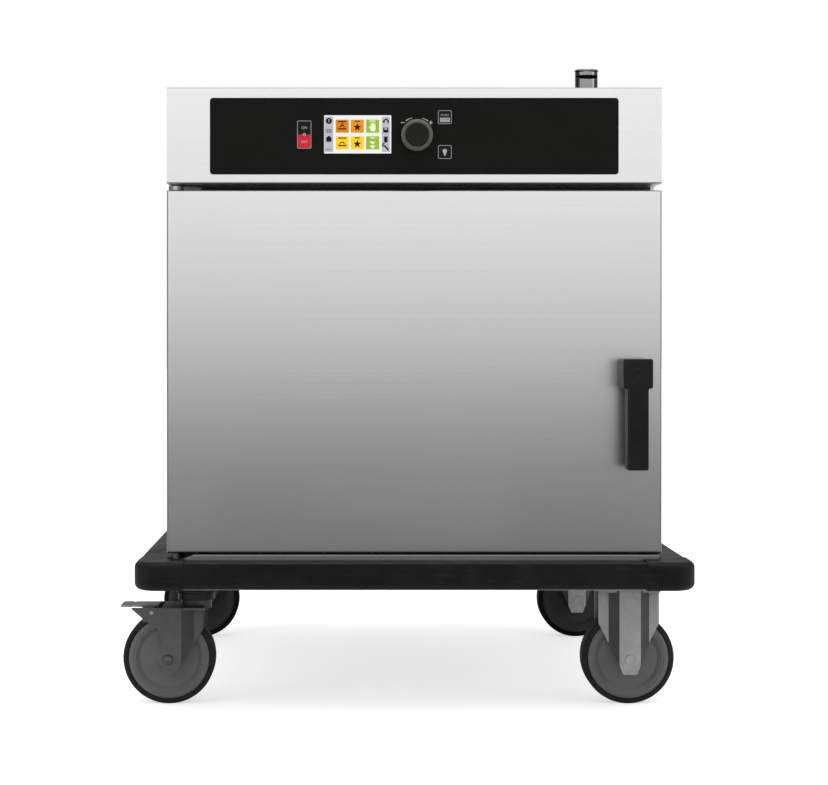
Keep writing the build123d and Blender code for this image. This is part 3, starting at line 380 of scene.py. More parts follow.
FINISHES = {
    casing_steel: ["outer_casing", "back_panel"],
    fascia_steel: ["front_fascia"],
    door_steel: ["door_outer_panel"],
    chamber_steel: ["cooking_chamber", "door_inner_panel", "rack_left", "rack_right", "fan_baffle",
                    "fan_wheel"],
    frame_steel: ["chassis", "drip_tray", "hinge_bracket_upper", "hinge_bracket_lower", "pivot_pins",
                  "drain_pipe", "latch_tongue", "encoder_plunger"],
    castor_zinc: ["fasteners", "fixed_fork_front", "fixed_fork_rear", "brake_pedal_front",
                  "brake_pedal_rear"],
    shaded_fork_zinc: ["swivel_fork_front", "swivel_fork_rear", "swivel_axle_front", "swivel_axle_rear"],
    deep_shade_head_zinc: ["swivel_plate_front", "swivel_plate_rear"],
    tube_chrome: ["vent_pipe"],
    bumper_skin: ["bumper_front", "bumper_rear", "bumper_left", "bumper_right", "bumper_corner_front_left",
                  "bumper_corner_front_right", "bumper_corner_rear_left", "bumper_corner_rear_right"],
    gasket_skin: ["door_gasket"],
    tyre_skin: ["tyre_front_left", "tyre_front_right"],
    shaded_tyre_skin: ["tyre_rear_left", "tyre_rear_right"],
    rim_skin: ["rim_front_left", "rim_front_right"],
    shaded_rim_skin: ["rim_rear_left", "rim_rear_right"],
    handle_skin: ["handle_base", "handle_lever"],
    gland_skin: ["cable_gland"],
    knob_skin: ["control_knob"],
    key_skin: ["power_rocker", "start_key", "light_key"],
    panel_glass: ["control_glass"],
    screen_white: ["display_module"],
    board_green: ["control_board"],
    motor_paint: ["fan_motor"],
    sheath_steel: ["heating_element"],
    brass: ["water_valve"],
}

for surface, names in FINISHES.items():
    for name in names:
        NODES[name].data.materials.clear()
        NODES[name].data.materials.append(surface)


# ------------------------------------------------------------------------ making pieces


def piece(name, mesh, materials, body):
    """A mesh in the row frame becomes a piece that rides on a body."""
    made = bpy.data.objects.new(name, mesh)
    bpy.context.scene.collection.objects.link(made)
    for surface in materials:
        mesh.materials.append(surface)
    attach(made, body)
    return made


class Print:
    """Flat printed shapes that face the cook, each a closed wafer on a face at depth y."""

    WAFER = 0.09 * MM
    SUNK = 0.02 * MM  # how far a wafer reaches into the face behind it
    CAPITALS = 0.7  # the height of the font's capitals, as a share of its size

    def __init__(self, centre, face_y):
        self.centre, self.face_y = centre, face_y
        self.mesh = bmesh.new()
        self.materials = []

    def point(self, x, z, y):
        """x and z are millimetres right of and above the centre."""
        return Vector((self.centre.x + x * MM, y, self.centre.z + z * MM))

    def index(self, surface):
        if surface not in self.materials:
            self.materials.append(surface)
        return self.materials.index(surface)

    def shape(self, outline, surface, layer=1):
        """A wafer with an outline of (x, z) points, layer wafers above the face."""
        back = self.face_y + self.SUNK
        front = self.face_y - layer * self.WAFER
        rear_ring = [self.mesh.verts.new(self.point(x, z, back)) for x, z in outline]
        front_ring = [self.mesh.verts.new(self.point(x, z, front)) for x, z in outline]
        count = len(outline)
        faces = [self.mesh.faces.new(front_ring), self.mesh.faces.new(rear_ring[::-1])]
        for i in range(count):
            j = (i + 1) % count
            faces.append(self.mesh.faces.new((front_ring[i], rear_ring[i], rear_ring[j], front_ring[j])))
        for face in faces:
            face.material_index = self.index(surface)

    def ring(self, outer, inner, surface, layer=1):
        """A closed band between two outlines with the same number of points."""
        back = self.face_y + self.SUNK
        front = self.face_y - layer * self.WAFER
        loops = [
            [self.mesh.verts.new(self.point(x, z, y)) for x, z in outline]
            for outline, y in ((outer, front), (inner, front), (inner, back), (outer, back))
        ]
        count = len(outer)
        for here, there in zip(loops, loops[1:] + loops[:1]):
            for i in range(count):
                j = (i + 1) % count
                face = self.mesh.faces.new((here[i], here[j], there[j], there[i]))
                face.material_index = self.index(surface)

    def words(self, text, x, z, height, surface, layer=1):
        """Plain generic lettering, centred on (x, z), with capitals of that height."""
        curve = bpy.data.curves.new(text, "FONT")
        curve.body = text
        curve.align_x = "CENTER"
        curve.align_y = "CENTER"
        curve.size = height * MM / self.CAPITALS
        curve.extrude = self.WAFER * layer / 2
        holder = bpy.data.objects.new(text, curve)
        letters = bpy.data.meshes.new_from_object(holder)
        letters.transform(Matrix.Rotation(math.pi / 2, 4, "X"))
        letters.transform(Matrix.Translation(self.point(x, z, self.face_y - self.WAFER * layer / 2)))
        before = len(self.mesh.faces)
        self.mesh.from_mesh(letters)
        self.mesh.faces.ensure_lookup_table()
        for face in self.mesh.faces[before:]:
            face.material_index = self.index(surface)
        bpy.data.objects.remove(holder)
        bpy.data.meshes.remove(letters)
        bpy.data.curves.remove(curve)

    def done(self, name, body, slot):
        bmesh.ops.recalc_face_normals(self.mesh, faces=self.mesh.faces)
        mesh = bpy.data.meshes.new(name)
        self.mesh.to_mesh(mesh)
        self.mesh.free()
        return piece(name, mesh, self.materials, body)


# Outlines for Print: lists of (x, z) points in millimetres, each round a middle (x, z).


def rectangle(width, height, x=0.0, z=0.0):
    half_w, half_h = width / 2, height / 2
    left, right, bottom, top = x - half_w, x + half_w, z - half_h, z + half_h
    return [(left, bottom), (right, bottom), (right, top), (left, top)]


def rounded(width, height, radius, x=0.0, z=0.0, steps=4):
    """A rectangle with round corners."""
    points = []
    for corner, (side_x, side_z) in enumerate(((1, 1), (-1, 1), (-1, -1), (1, -1))):
        for step in range(steps + 1):
            angle = math.radians(90 * (corner + step / steps))
            points.append((
                x + side_x * (width / 2 - radius) + radius * math.cos(angle),
                z + side_z * (height / 2 - radius) + radius * math.sin(angle),
            ))
    return points


def disc(radius, x=0.0, z=0.0, count=24):
    return [
        (x + radius * math.cos(2 * math.pi * i / count), z + radius * math.sin(2 * math.pi * i / count))
        for i in range(count)
    ]


def arc_band(radius, start, end, width_start, width_end, x=0.0, z=0.0, steps=8):
    """A band along an arc, its width changing from one end to the other. Degrees."""
    outer, inner = [], []
    for step in range(steps + 1):
        share = step / steps
        angle = math.radians(start + (end - start) * share)
        half = (width_start + (width_end - width_start) * share) / 2
        outer.append((x + (radius + half) * math.cos(angle), z + (radius + half) * math.sin(angle)))
        inner.append((x + (radius - half) * math.cos(angle), z + (radius - half) * math.sin(angle)))
    return outer + inner[::-1]


STAR_POINTS = 5
STAR_WAIST = 0.42  # the inner corners' radius, as a share of the points'


def star(radius, x=0.0, z=0.0):
    """A star with one point straight up."""
    outline = []
    for i in range(2 * STAR_POINTS):
        reach = radius if i % 2 == 0 else radius * STAR_WAIST
        angle = math.pi / 2 + math.pi * i / STAR_POINTS
        outline.append((x + reach * math.cos(angle), z + reach * math.sin(angle)))
    return outline


# ------------------------------------------------------------ display, keys and printing

white_ink = ink("white_ink", (0.42, 0.42, 0.41))
dark_ink = ink("dark_ink", (0.01, 0.01, 0.01))
red_ink = Surface("red_key_face", (0.6, 0.012, 0.03), roughness=0.4, Specular_IOR_Level=0.15)
red_mottle = red_ink.spread(red_ink.noise(700, 2), 0, 0.4)
red_ink.paint(red_ink.tint(red_mottle, (0.66, 0.012, 0.03), (0.52, 0.01, 0.025)))
red_face = red_ink.material

screen_grey = lit("screen_grey", (0.53, 0.53, 0.62), 0.62)
screen_orange = lit("screen_orange", (0.68, 0.22, 0.01), 0.75)
screen_amber = lit("screen_amber", (0.8, 0.28, 0.006), 0.75)
screen_yellow = lit("screen_yellow", (0.95, 0.62, 0.02), 0.72)
screen_green = lit("screen_green", (0.31, 0.52, 0.025), 0.7)
screen_dark = lit("screen_dark", (0.02, 0.012, 0.008), 0.2)
screen_pale = lit("screen_pale", (0.9, 0.95, 0.8), 0.7)

# The display's page, in millimetres from its middle.
TILE = 17.2
TILE_X = (-20.3, -0.5, 19.6)
TILE_Z = (10.7, -11.2)
COLUMN_X = (-37.8, 36.9)
COLUMN_WIDTH = (11.4, 10.4)
COLUMN_HEIGHT = 46.5
ICON = 2  # the layer of the icons: tiles and columns are layer 1


def dish(screen, x, z):
    """A dish on its foot under a domed meal."""
    boat = [
        (x - 6.2, z - 2.2), (x - 4.4, z - 4.4), (x + 4.4, z - 4.4),
        (x + 6.2, z - 2.2), (x + 3, z - 2.7), (x - 3, z - 2.7),
    ]
    screen.shape(boat, screen_dark, ICON)
    screen.shape(arc_band(3.0, 12, 168, 1.3, 1.3, x, z - 2.1), screen_dark, ICON)


def tile_icons(screen, spots):
    """On the tiles: two dishes, two stars, a hand and a double arrow. A bar above each stands
    for its line of text."""
    for column in (0, 3):
        x, z = spots[column]
        dish(screen, x, z)
        screen.shape(rectangle(11, 1.5, x, z + 6.3), screen_dark, ICON)
    x, z = spots[0]
    for level in range(3):
        screen.shape(rectangle(4.5 - level, 0.8, x, z + 1.6 + 1.5 * level), screen_dark, ICON)
    for column in (1, 4):
        x, z = spots[column]
        screen.shape(star(5.6, x, z - 1.4), screen_dark, ICON)
        screen.shape(rectangle(7, 1.3, x, z + 6.5), screen_dark, ICON)
    hand_x, hand_z = spots[2]
    screen.shape(rounded(6.4, 7.0, 2.2, hand_x + 0.6, hand_z - 3.2), screen_pale, ICON)
    for finger, height in enumerate((6.4, 7.6, 7.4, 6.0)):
        x = hand_x - 1.9 + 1.65 * finger
        screen.shape(rounded(1.35, height, 0.6, x, hand_z - 1.4 + height / 2 - 1.4), screen_pale, ICON)
    thumb = [(-2.2, -5.0), (-5.2, -1.0), (-4.2, -0.4), (-1.6, -2.6)]
    screen.shape([(hand_x + x, hand_z + z) for x, z in thumb], screen_pale, ICON)
    screen.shape(rectangle(8, 1.2, hand_x, hand_z + 6.8), screen_pale, ICON)
    arrow_x, arrow_z = spots[5]
    for drop in (-0.4, -5.6):
        top = arrow_z + drop + 2.0
        screen.shape([(arrow_x - 4, top), (arrow_x, top - 4), (arrow_x + 4, top)], screen_pale, ICON)
    screen.shape(rectangle(6, 1.2, arrow_x, arrow_z + 6.4), screen_pale, ICON)


def left_icons(screen, middle_x):
    """Down the left column: a question mark, three upright rings, a house and three dots."""
    screen.ring(disc(4.0, middle_x, 17.6), disc(3.0, middle_x, 17.6), screen_dark, ICON)
    screen.shape(disc(3.2, middle_x, 17.6), screen_dark, ICON)
    screen.words("?", middle_x, 17.6, 4.2, screen_pale, ICON + 1)
    for step in (-2.9, 0, 2.9):
        x = middle_x + step
        screen.ring(rounded(2.5, 4.6, 1.1, x, 4.4), rounded(1.3, 3.4, 0.5, x, 4.4), screen_dark, ICON)
    house = [(-3.5, -9.8), (3.5, -9.8), (3.5, -4.4), (0, -1.6), (-3.5, -4.4)]
    screen.shape([(middle_x + x, z) for x, z in house], screen_dark, ICON)
    for step in (-2.6, 0, 2.6):
        x = middle_x + step
        screen.ring(disc(0.9, x, -19.8, 12), disc(0.4, x, -19.8, 12), screen_dark, ICON)


def right_icons(screen, middle_x):
    """Down the right column: a turning arrow, a disk, a bin and a spanner."""
    screen.shape(arc_band(3.0, -40, 170, 2.0, 1.7, middle_x + 0.3, 16.6), screen_dark, ICON)
    arrow = [(-4.4, 17.6), (-2.7, 14.6), (-0.6, 17.4)]
    screen.shape([(middle_x + x, z) for x, z in arrow], screen_dark, ICON)
    screen.ring(rounded(6.8, 6.6, 0.6, middle_x, 5.6), rounded(3.4, 2.4, 0.3, middle_x, 7.2),
                screen_dark, ICON)
    screen.shape(rounded(4.6, 7.0, 0.8, middle_x, -7.2), screen_dark, ICON)
    screen.shape(rectangle(6.0, 1.0, middle_x, -3.4), screen_dark, ICON)
    spanner = [(-2.4, -15.3), (-0.9, -13.9), (4.4, -20.1), (2.8, -21.6)]
    screen.shape([(middle_x + x, z) for x, z in spanner], screen_dark, ICON)
    screen.shape(arc_band(1.7, 60, 300, 1.7, 1.7, middle_x - 2.4, -13.8), screen_dark, ICON)


def display_graphics():
    """The lit page of the touch display: two icon columns and six programme tiles."""
    centre = middle("display_module")
    screen = Print(Vector((centre.x, 0, centre.z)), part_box("display_module")[0].y)
    for x, width in zip(COLUMN_X, COLUMN_WIDTH):
        screen.shape(rounded(width, COLUMN_HEIGHT, 0.6, x, 0), screen_grey)
    tiles = (screen_orange, screen_amber, screen_green, screen_yellow, screen_yellow, screen_green)
    spots = [(x, z) for z in TILE_Z for x in TILE_X]
    for surface, (x, z) in zip(tiles, spots):
        screen.shape(rounded(TILE, TILE, 0.4, x, z), surface)
    tile_icons(screen, spots)
    left_icons(screen, COLUMN_X[0])
    right_icons(screen, COLUMN_X[1])
    screen.done("display_page", "cabinet", "screen")


def framed_key(node):
    """A print on a key's face with a white line round its edge, and the key's width and height."""
    low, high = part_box(node)
    width, height = (high.x - low.x) / MM, (high.z - low.z) / MM
    key = Print(middle(node), low.y)
    key.ring(rounded(width, height, 1.6), rounded(width - 1.1, height - 1.1, 1.1), white_ink)
    return key, width, height


RED_INSET = 0.9


def power_key_face():
    """ON over a red OFF, with a small indicator between them."""
    key, width, height = framed_key("power_rocker")
    side, bottom = width / 2 - RED_INSET, -height / 2 + RED_INSET
    key.shape([(-side, 0), (-side, bottom), (side, bottom), (side, 0)], red_face)
    key.words("ON", 0, 8.9, 3.3, white_ink)
    key.words("OFF", 0, -9.6, 3.5, white_ink, 2)
    key.ring(disc(2.0), disc(1.0), white_ink, 3)
    key.shape(disc(1.1), dark_ink, 2)
    key.done("power_key_face", "power_key", "key_plastic")


def start_key_face():
    """START over STOP, the second in dark letters on white."""
    key = framed_key("start_key")[0]
    key.words("START", 0, 2.5, 2.6, white_ink)
    key.shape(rectangle(12.8, 5.6, 0, -3.6), white_ink)
    key.words("STOP", 0, -3.6, 2.9, dark_ink, 2)
    key.done("start_key_face", "start_button", "key_plastic")


BULB_Z = 1.2
BULB_RAY = 4.6


def light_key_face():
    """A lamp bulb with three dots round it."""
    key = framed_key("light_key")[0]
    key.shape(disc(2.8, 0, BULB_Z), white_ink)
    key.shape([(-1.9, -0.6), (-1.0, -4.6), (1.0, -4.6), (1.9, -0.6)], white_ink, 2)
    for degrees in (25, 90, 155):
        angle = math.radians(degrees)
        x, z = BULB_RAY * math.cos(angle), BULB_Z + BULB_RAY * math.sin(angle)
        key.shape(disc(0.35, x, z, 8), white_ink)
    key.done("light_key_face", "light_button", "key_plastic")


MARK_RADIUS = 24.5
SIGN_X, SIGN_Z = 18.4, 17.5
SIGN_BAR = 4.8


def knob_marks():
    """Minus and plus with an arc each, printed on the glass above the knob."""
    marks = Print(middle("control_knob"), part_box("control_glass")[0].y)
    marks.shape(arc_band(MARK_RADIUS, 104, 126, 0.7, 1.6), white_ink)
    marks.shape(arc_band(MARK_RADIUS, 73, 53, 0.7, 1.6), white_ink)
    marks.shape(rectangle(SIGN_BAR, 1.3, -SIGN_X, SIGN_Z), white_ink)
    marks.shape(rectangle(SIGN_BAR, 1.4, SIGN_X, SIGN_Z), white_ink)
    for up in (1.6, -1.6):
        marks.shape(rectangle(1.4, 1.8, SIGN_X, SIGN_Z + up), white_ink)
    marks.done("knob_marks", "cabinet", "black_glass")


# ------------------------------------------------------------------ turned and other parts


def lathe(name, profile, centre, axis, surface, body, count=40):
    """An outline of (radius, height) in millimetres, turned about an axis through centre."""
    mesh = bmesh.new()
    centre, along = Vector(centre), Vector(axis).normalized()
    side = along.orthogonal().normalized()
    up = along.cross(side)
    rings = []
    for radius, height in ((r * MM, h * MM) for r, h in profile):
        if radius == 0:
            rings.append([mesh.verts.new(centre + along * height)])
            continue
        rings.append([
            mesh.verts.new(centre + along * height + radius * (side * math.cos(t) + up * math.sin(t)))
            for t in (2 * math.pi * i / count for i in range(count))
        ])
    closing = [(rings[-1], rings[0])] if profile[0][0] else []
    for here, there in list(zip(rings, rings[1:])) + closing:
        for i in range(count):
            j = (i + 1) % count
            corners = [ring[k % len(ring)] for ring, k in ((here, i), (here, j), (there, j), (there, i))]
            mesh.faces.new(list(dict.fromkeys(corners))).smooth = True
    bmesh.ops.recalc_face_normals(mesh, faces=mesh.faces)
    data = bpy.data.meshes.new(name)
    mesh.to_mesh(data)
    mesh.free()
    piece(name, data, [surface], body)


def slab(name, low, high, bevel, surface, body):
    """A solid bar between two corners with every edge rounded over."""
    mesh = bmesh.new()
    bmesh.ops.create_cube(mesh, size=1)
    size, centre = Vector(high) - Vector(low), (Vector(high) + Vector(low)) / 2
    for vert in mesh.verts:
        vert.co = Vector(vert.co[i] * size[i] for i in range(3)) + centre
    bmesh.ops.bevel(mesh, geom=mesh.edges[:], offset=bevel, segments=3, profile=0.5, affect="EDGES")
    bmesh.ops.recalc_face_normals(mesh, faces=mesh.faces)
    data = bpy.data.meshes.new(name)
    mesh.to_mesh(data)
    mesh.free()
    return piece(name, data, [surface], body)


# Outlines for lathe. One that starts on the axis is a solid, any other is a ring.
KNOB_CAP = [
    (0, 0.75), (9, 0.85), (13.2, 1.2), (14.6, 1.35), (15.2, 1.1), (15.4, 0.4), (15.0, 0.0), (0, 0.0),
]
DOME_SCREW = [(0, 1.1), (1.6, 1.1), (1.9, 2.0), (2.6, 1.95), (3.8, 1.3), (4.3, 0.4), (4.3, -0.3), (0, -0.3)]
AXLE_HEAD = [(0, 0.15), (2.2, 0.2), (3.2, 0.8), (5.2, 0.9), (6.6, 0.3), (6.8, -0.3), (0, -0.3)]
SHROUD = [(25.1, 0), (27.2, 0.4), (28.0, 2.6), (28.0, 6.4), (25.1, 6.8)]
SHROUD_DROP = 12 * MM  # from the top of a swivel castor's plate to its shroud
FAN_NUT = [(0, 7.5), (3.4, 7.2), (5.2, 5.0), (7.4, 4.4), (7.8, 0.5), (13, 0), (13, -1), (0, -1)]
HANDLE_COVER = [(0, 0.5), (5.5, 0.45), (6.6, 0.7), (7.3, 0.3), (7.5, -0.4), (0, -0.4)]
STRAINER = [(4.0, 0.6), (8.6, 1.1), (10.4, 0.9), (11.0, 0.1), (4.0, 0.1)]


def knob_cap():
    """The dark dished cap in the knob's ring."""
    centre = middle("control_knob")
    centre.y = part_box("control_knob")[0].y
    lathe("knob_cap", KNOB_CAP, centre, (0, -1, 0), knob_dark, "knob", 48)


def rim_details():
    """On both sides of every wheel: the moulded edge that holds the tyre."""
    # The rear wheels' rings take the darker painted-shade rim material.
    for end, skin in (("front", rim_skin), ("rear", shaded_rim_skin)):
        for side in ("left", "right"):
            low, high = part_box(f"tyre_{end}_{side}")
            centre, half = (low + high) / 2, (high.y - low.y) / 2 / MM
            ring = [
                (47.6, half - 0.3), (48.4, half + 0.5), (52.6, half + 0.5),
                (53.6, half - 0.3), (50.5, half - 0.9),
            ]
            for index, facing in enumerate((-1, 1)):
                lathe(f"rim_ring_{end}_{side}_{index}", ring, centre, (0, facing, 0), skin,
                      f"wheel_{end}_{side}", 72)


def castor_caps():
    """The riveted heads of the swivel castors' axles, and the shrouds round their swivels."""
    for end in ("front", "rear"):
        low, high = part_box(f"swivel_axle_{end}")
        for index, (place, facing) in enumerate(((low.y, -1), (high.y, 1))):
            centre = ((low.x + high.x) / 2, place, (low.z + high.z) / 2)
            lathe(f"axle_head_{end}_{index}", AXLE_HEAD, centre, (0, facing, 0), shaded_fork_zinc,
                  f"castor_{end}")
        plate = middle(f"swivel_plate_{end}")
        plate.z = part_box(f"swivel_plate_{end}")[1].z - SHROUD_DROP
        lathe(f"swivel_shroud_{end}", SHROUD, plate, (0, 0, 1), deep_shade_head_zinc, "cabinet")


def fan_nut():
    """The nut that holds the fan wheel on its shaft."""
    hub = middle("fan_wheel")
    hub.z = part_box("fan_wheel")[0].z
    lathe("fan_nut", FAN_NUT, hub, (0, 0, -1), chamber_steel, "fan")


# The screws down the back panel's sides, then those along its top and bottom.
SIDE_SCREW_INSET = 14 * MM
SIDE_SCREW_END = 40 * MM  # from the panel's top and bottom edges
EDGE_SCREW_INSET = 12 * MM
EDGE_SCREW_END = 150 * MM  # from the panel's side edges
EDGE_SCREW_MIDDLE = 15 * MM  # x of the middle one


def panel_screws(low, high):
    """Three screws down each side of the back panel and three along its top and bottom."""
    heights = (low.z + SIDE_SCREW_END, (low.z + high.z) / 2, high.z - SIDE_SCREW_END)
    spots = [(x, z) for x in (low.x + SIDE_SCREW_INSET, high.x - SIDE_SCREW_INSET) for z in heights]
    across = (low.x + EDGE_SCREW_END, EDGE_SCREW_MIDDLE, high.x - EDGE_SCREW_END)
    edges = (low.z + EDGE_SCREW_INSET, high.z - EDGE_SCREW_INSET)
    spots += [(x, z) for x in across for z in edges]
    for index, (x, z) in enumerate(spots):
        lathe(f"panel_screw_{index}", DOME_SCREW, (x, high.y, z), (0, 1, 0), castor_zinc,
              "cabinet", 28)


LOUVRE = [(0, 9), (6, 2), (7, 0.5), (7, 0), (6, 0.6), (0, 7.4)]  # (out, up) in millimetres
LOUVRE_ROWS = 7
LOUVRE_PITCH = 16 * MM
LOUVRE_BASE = 150 * MM  # the lowest row, above the panel's bottom edge
LOUVRE_HALF = 62 * MM  # half its length
LOUVRE_COLUMN = 120 * MM  # each column's middle, from the panel's
LOUVRE_SUNK = 0.2 * MM  # into the panel


def louvre(mesh, middle_x, face_y, base):
    """One pressed louvre: the outline, extruded along x and capped."""
    ends = [
        [mesh.verts.new((x, face_y - LOUVRE_SUNK + out * MM, base + up * MM)) for out, up in LOUVRE]
        for x in (middle_x - LOUVRE_HALF, middle_x + LOUVRE_HALF)
    ]
    mesh.faces.new(ends[0])
    mesh.faces.new(ends[1][::-1])
    for i in range(len(LOUVRE)):
        j = (i + 1) % len(LOUVRE)
        mesh.faces.new((ends[0][i], ends[1][i], ends[1][j], ends[0][j]))


def back_details():
    """Screws round the back panel and two columns of pressed louvres."""
    low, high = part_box("back_panel")
    panel_screws(low, high)
    mesh = bmesh.new()
    for column in (-1, 1):
        for row in range(LOUVRE_ROWS):
            base = low.z + LOUVRE_BASE + LOUVRE_PITCH * row
            louvre(mesh, (low.x + high.x) / 2 + column * LOUVRE_COLUMN, high.y, base)
    bmesh.ops.recalc_face_normals(mesh, faces=mesh.faces)
    data = bpy.data.meshes.new("back_louvres")
    mesh.to_mesh(data)
    mesh.free()
    piece("back_louvres", data, [casing_steel], "cabinet")


def vent_collar():
    """The collar that seals the vent tube to the casing's top, and the tube's rolled lip."""
    low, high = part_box("vent_pipe")
    radius = (high.x - low.x) / 2 / MM
    foot, tip = (low + high) / 2, (low + high) / 2
    foot.z, tip.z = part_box("outer_casing")[1].z, high.z
    collar = [
        (0.05, 4.2), (1.0, 4.6), (2.2, 3.4), (2.8, 1.4), (9, 0.9), (10, 0.3), (10, -0.2), (0.05, -0.2),
    ]
    rolled = [(-1.6, 0.0), (-1.2, 1.2), (-0.2, 1.5), (0.9, 0.8), (1.0, -0.6), (0.1, -1.2), (0.05, -0.1)]
    for name, profile, centre in (("vent_collar", collar, foot), ("vent_lip", rolled, tip)):
        profile = [(radius + out, height) for out, height in profile]
        lathe(name, profile, centre, (0, 0, 1), tube_chrome, "cabinet", 56)


def fascia_gap_shade():
    """A dark strip of gasket rubber in the joint between the door and the fascia, put there as painted
    shade.
    """
    low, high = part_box("front_fascia")
    door_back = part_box("door_inner_panel")[1].y
    start = (low.x + 35 * MM, door_back + 0.8 * MM, low.z - 11 * MM)
    end = (high.x - 6 * MM, door_back + 4.2 * MM, low.z - 0.3 * MM)
    slab("fascia_gap_shade", start, end, 0.8 * MM, gasket_skin, "cabinet")


def handle_cover():
    """The cover of the screw that holds the lever on its spindle."""
    spindle = middle("handle_base")
    spindle.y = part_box("handle_lever")[0].y
    lathe("handle_cover", HANDLE_COVER, spindle, (0, -1, 0), handle_skin, "handle")


def strainer():
    """The drip tray's drain strainer, near the tray's right end."""
    low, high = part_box("drip_tray")
    place = (high.x - 60 * MM, (low.y + high.y) / 2, low.z + 2 * MM)
    lathe("tray_strainer", STRAINER, place, (0, 0, 1), chamber_steel, "cabinet")


rim_details()
castor_caps()
fan_nut()
back_details()
vent_collar()
fascia_gap_shade()
handle_cover()
strainer()
display_graphics()
power_key_face()
start_key_face()
light_key_face()
knob_marks()
knob_cap()

# --------------------------------------------------------------- camera, floor and light

DOOR_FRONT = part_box("door_outer_panel")[0].y
EYE_BACK = 2.497  # from the door's face
EYE = Vector((-0.0777, DOOR_FRONT - EYE_BACK, 0.4944))
LEVEL = (math.pi / 2, 0, 0)  # turns a camera or a plane to face along y

camera_data = bpy.data.cameras.new("camera")
camera_data.sensor_width = 36.0
camera_data.lens = 82.7
camera_data.shift_x = 0.0845
camera_data.shift_y = -0.0634
camera_data.clip_end = 100.0
camera = bpy.data.objects.new("camera", camera_data)
camera.location = EYE
camera.rotation_euler = LEVEL
bpy.context.scene.collection.objects.link(camera)
bpy.context.scene.camera = camera
bpy.context.scene.view_settings.view_transform = "Standard"


def floor():
    """A wide pale floor that glows for the camera and barely lights the object."""
    bpy.ops.mesh.primitive_circle_add(vertices=64, radius=30, fill_type="NGON", location=(0, 0, 0))
    ground = bpy.context.object
    ground.name = "studio_floor"
    surface = Surface("studio_floor", (0.9, 0.9, 0.9), roughness=0.7, Specular_IOR_Level=0.2)
    surface.set("Emission Color", (1, 1, 1, 1))
    path = surface.nodes.new("ShaderNodeLightPath")
    glow = surface.spread(path.outputs["Is Camera Ray"], 0.02, 0.6, 0, 1)
    surface.link(glow, surface.shader.inputs["Emission Strength"])
    mottle = surface.spread(surface.noise(6, 3), 0, 0.3)
    surface.paint(surface.tint(mottle, (0.91, 0.91, 0.91), (0.88, 0.88, 0.88)))
    ground.data.materials.append(surface.material)


CARD_PLACE = (0, DOOR_FRONT - 0.6, 0.55)
CARD_SCALE = (3.4, 1.7, 1)
CARD_LEVELS = (  # (metres above the floor, brightness)
    (0.0, 0.04), (0.15, 0.2), (0.25, 0.26), (0.35, 0.37),
    (0.52, 0.685), (0.7, 0.93), (0.85, 1.04), (1.0, 1.06),
)


def card_glow():
    """Light whose brightness follows CARD_LEVELS up the card."""
    material = bpy.data.materials.new("reflection_card")
    material.use_nodes = True
    nodes, links = material.node_tree.nodes, material.node_tree.links
    nodes.clear()
    where = nodes.new("ShaderNodeNewGeometry")
    split = nodes.new("ShaderNodeSeparateXYZ")
    links.new(where.outputs["Position"], split.inputs[0])
    ramp = nodes.new("ShaderNodeValToRGB")
    elements = ramp.color_ramp.elements
    while len(elements) < len(CARD_LEVELS):
        elements.new(0.5)
    for element, (height, level) in zip(elements, CARD_LEVELS):
        element.position = height
        element.color = (level, level, level, 1)
    links.new(split.outputs["Z"], ramp.inputs["Fac"])
    glow = nodes.new("ShaderNodeEmission")
    glow.inputs["Strength"].default_value = 1.0
    links.new(ramp.outputs["Color"], glow.inputs["Color"])
    output = nodes.new("ShaderNodeOutputMaterial")
    links.new(glow.outputs[0], output.inputs["Surface"])
    return material


def reflection_card():
    """What the door mirrors: a wall that darkens towards the floor. Only reflections see it."""
    bpy.ops.mesh.primitive_plane_add(size=1, location=CARD_PLACE, rotation=LEVEL)
    card = bpy.context.object
    card.name = "reflection_card"
    card.scale = CARD_SCALE
    card.data.materials.append(card_glow())
    card.visible_camera = False
    card.visible_diffuse = False
    card.visible_transmission = False
    card.visible_shadow = False
    card.visible_volume_scatter = False


def softbox(name, place, target, width, height, power):
    """A rectangular lamp at a place, aimed at a target; metres and watts."""
    light = bpy.data.lights.new(name, "AREA")
    light.shape = "RECTANGLE"
    light.size, light.size_y = width, height
    light.energy = power
    holder = bpy.data.objects.new(name, light)
    holder.location = place
    holder.rotation_euler = (Vector(target) - Vector(place)).to_track_quat("-Z", "Y").to_euler()
    bpy.context.scene.collection.objects.link(holder)


# Each is (from, to, level at from, level at to) along one component of a ray's direction.
DOME_RISE = (-0.1, 0.8, 0.5, 1.15)  # upwards: brighter overhead
DOME_FLANK = (0.35, 0.8, 1.0, 0.6)  # to either side: darker


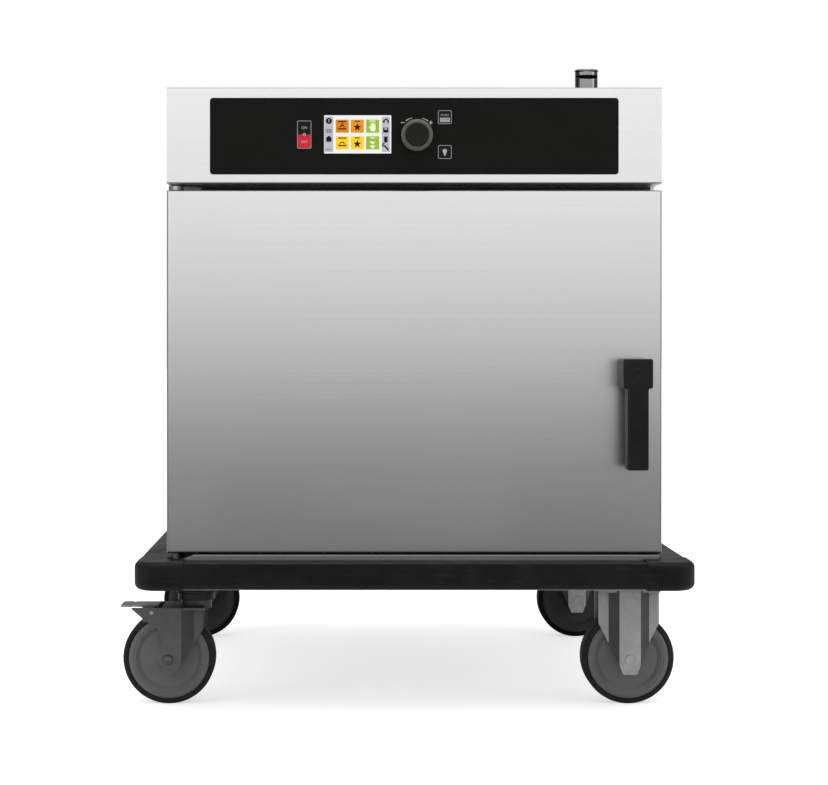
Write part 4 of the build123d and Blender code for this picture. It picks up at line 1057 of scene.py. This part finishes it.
def ranged(nodes, links, source, stops):
    """Maps a value through (from, to, level at from, level at to), held level past both ends."""
    ranger = nodes.new("ShaderNodeMapRange")
    for socket, number in zip(ranger.inputs[1:5], stops):
        socket.default_value = number
    links.new(source, ranger.inputs["Value"])
    return ranger.outputs["Result"]


def dome(nodes, links):
    """The light that the object gets from all round."""
    where = nodes.new("ShaderNodeTexCoord")
    split = nodes.new("ShaderNodeSeparateXYZ")
    links.new(where.outputs["Generated"], split.inputs[0])
    aside = nodes.new("ShaderNodeMath")
    aside.operation = "ABSOLUTE"
    links.new(split.outputs["X"], aside.inputs[0])
    level = nodes.new("ShaderNodeMath")
    level.operation = "MULTIPLY"
    links.new(ranged(nodes, links, split.outputs["Z"], DOME_RISE), level.inputs[0])
    links.new(ranged(nodes, links, aside.outputs[0], DOME_FLANK), level.inputs[1])
    light = nodes.new("ShaderNodeBackground")
    light.inputs["Strength"].default_value = 0.8
    links.new(level.outputs[0], light.inputs["Color"])
    return light.outputs[0]


def surroundings():
    """White behind the object; the dome for light and reflections."""
    world = bpy.data.worlds.new("studio")
    bpy.context.scene.world = world
    world.use_nodes = True
    nodes, links = world.node_tree.nodes, world.node_tree.links
    nodes.clear()
    seen = nodes.new("ShaderNodeBackground")
    seen.inputs["Strength"].default_value = 1.0
    seen.inputs["Color"].default_value = (1, 1, 1, 1)
    path = nodes.new("ShaderNodeLightPath")
    chosen = nodes.new("ShaderNodeMixShader")
    links.new(path.outputs["Is Camera Ray"], chosen.inputs["Fac"])
    links.new(dome(nodes, links), chosen.inputs[1])
    links.new(seen.outputs[0], chosen.inputs[2])
    output = nodes.new("ShaderNodeOutputWorld")
    links.new(chosen.outputs[0], output.inputs["Surface"])


floor()
reflection_card()
surroundings()
softbox("light_above", (0.3, -0.9, 2.6), (0, 0, 0.4), width=2.4, height=1.6, power=22)
softbox("light_left", (-2.6, -1.6, 1.6), (0, 0, 0.4), width=1.6, height=2.0, power=16)
softbox("light_right", (2.7, -1.2, 1.3), (0, 0, 0.3), width=1.2, height=1.8, power=12)
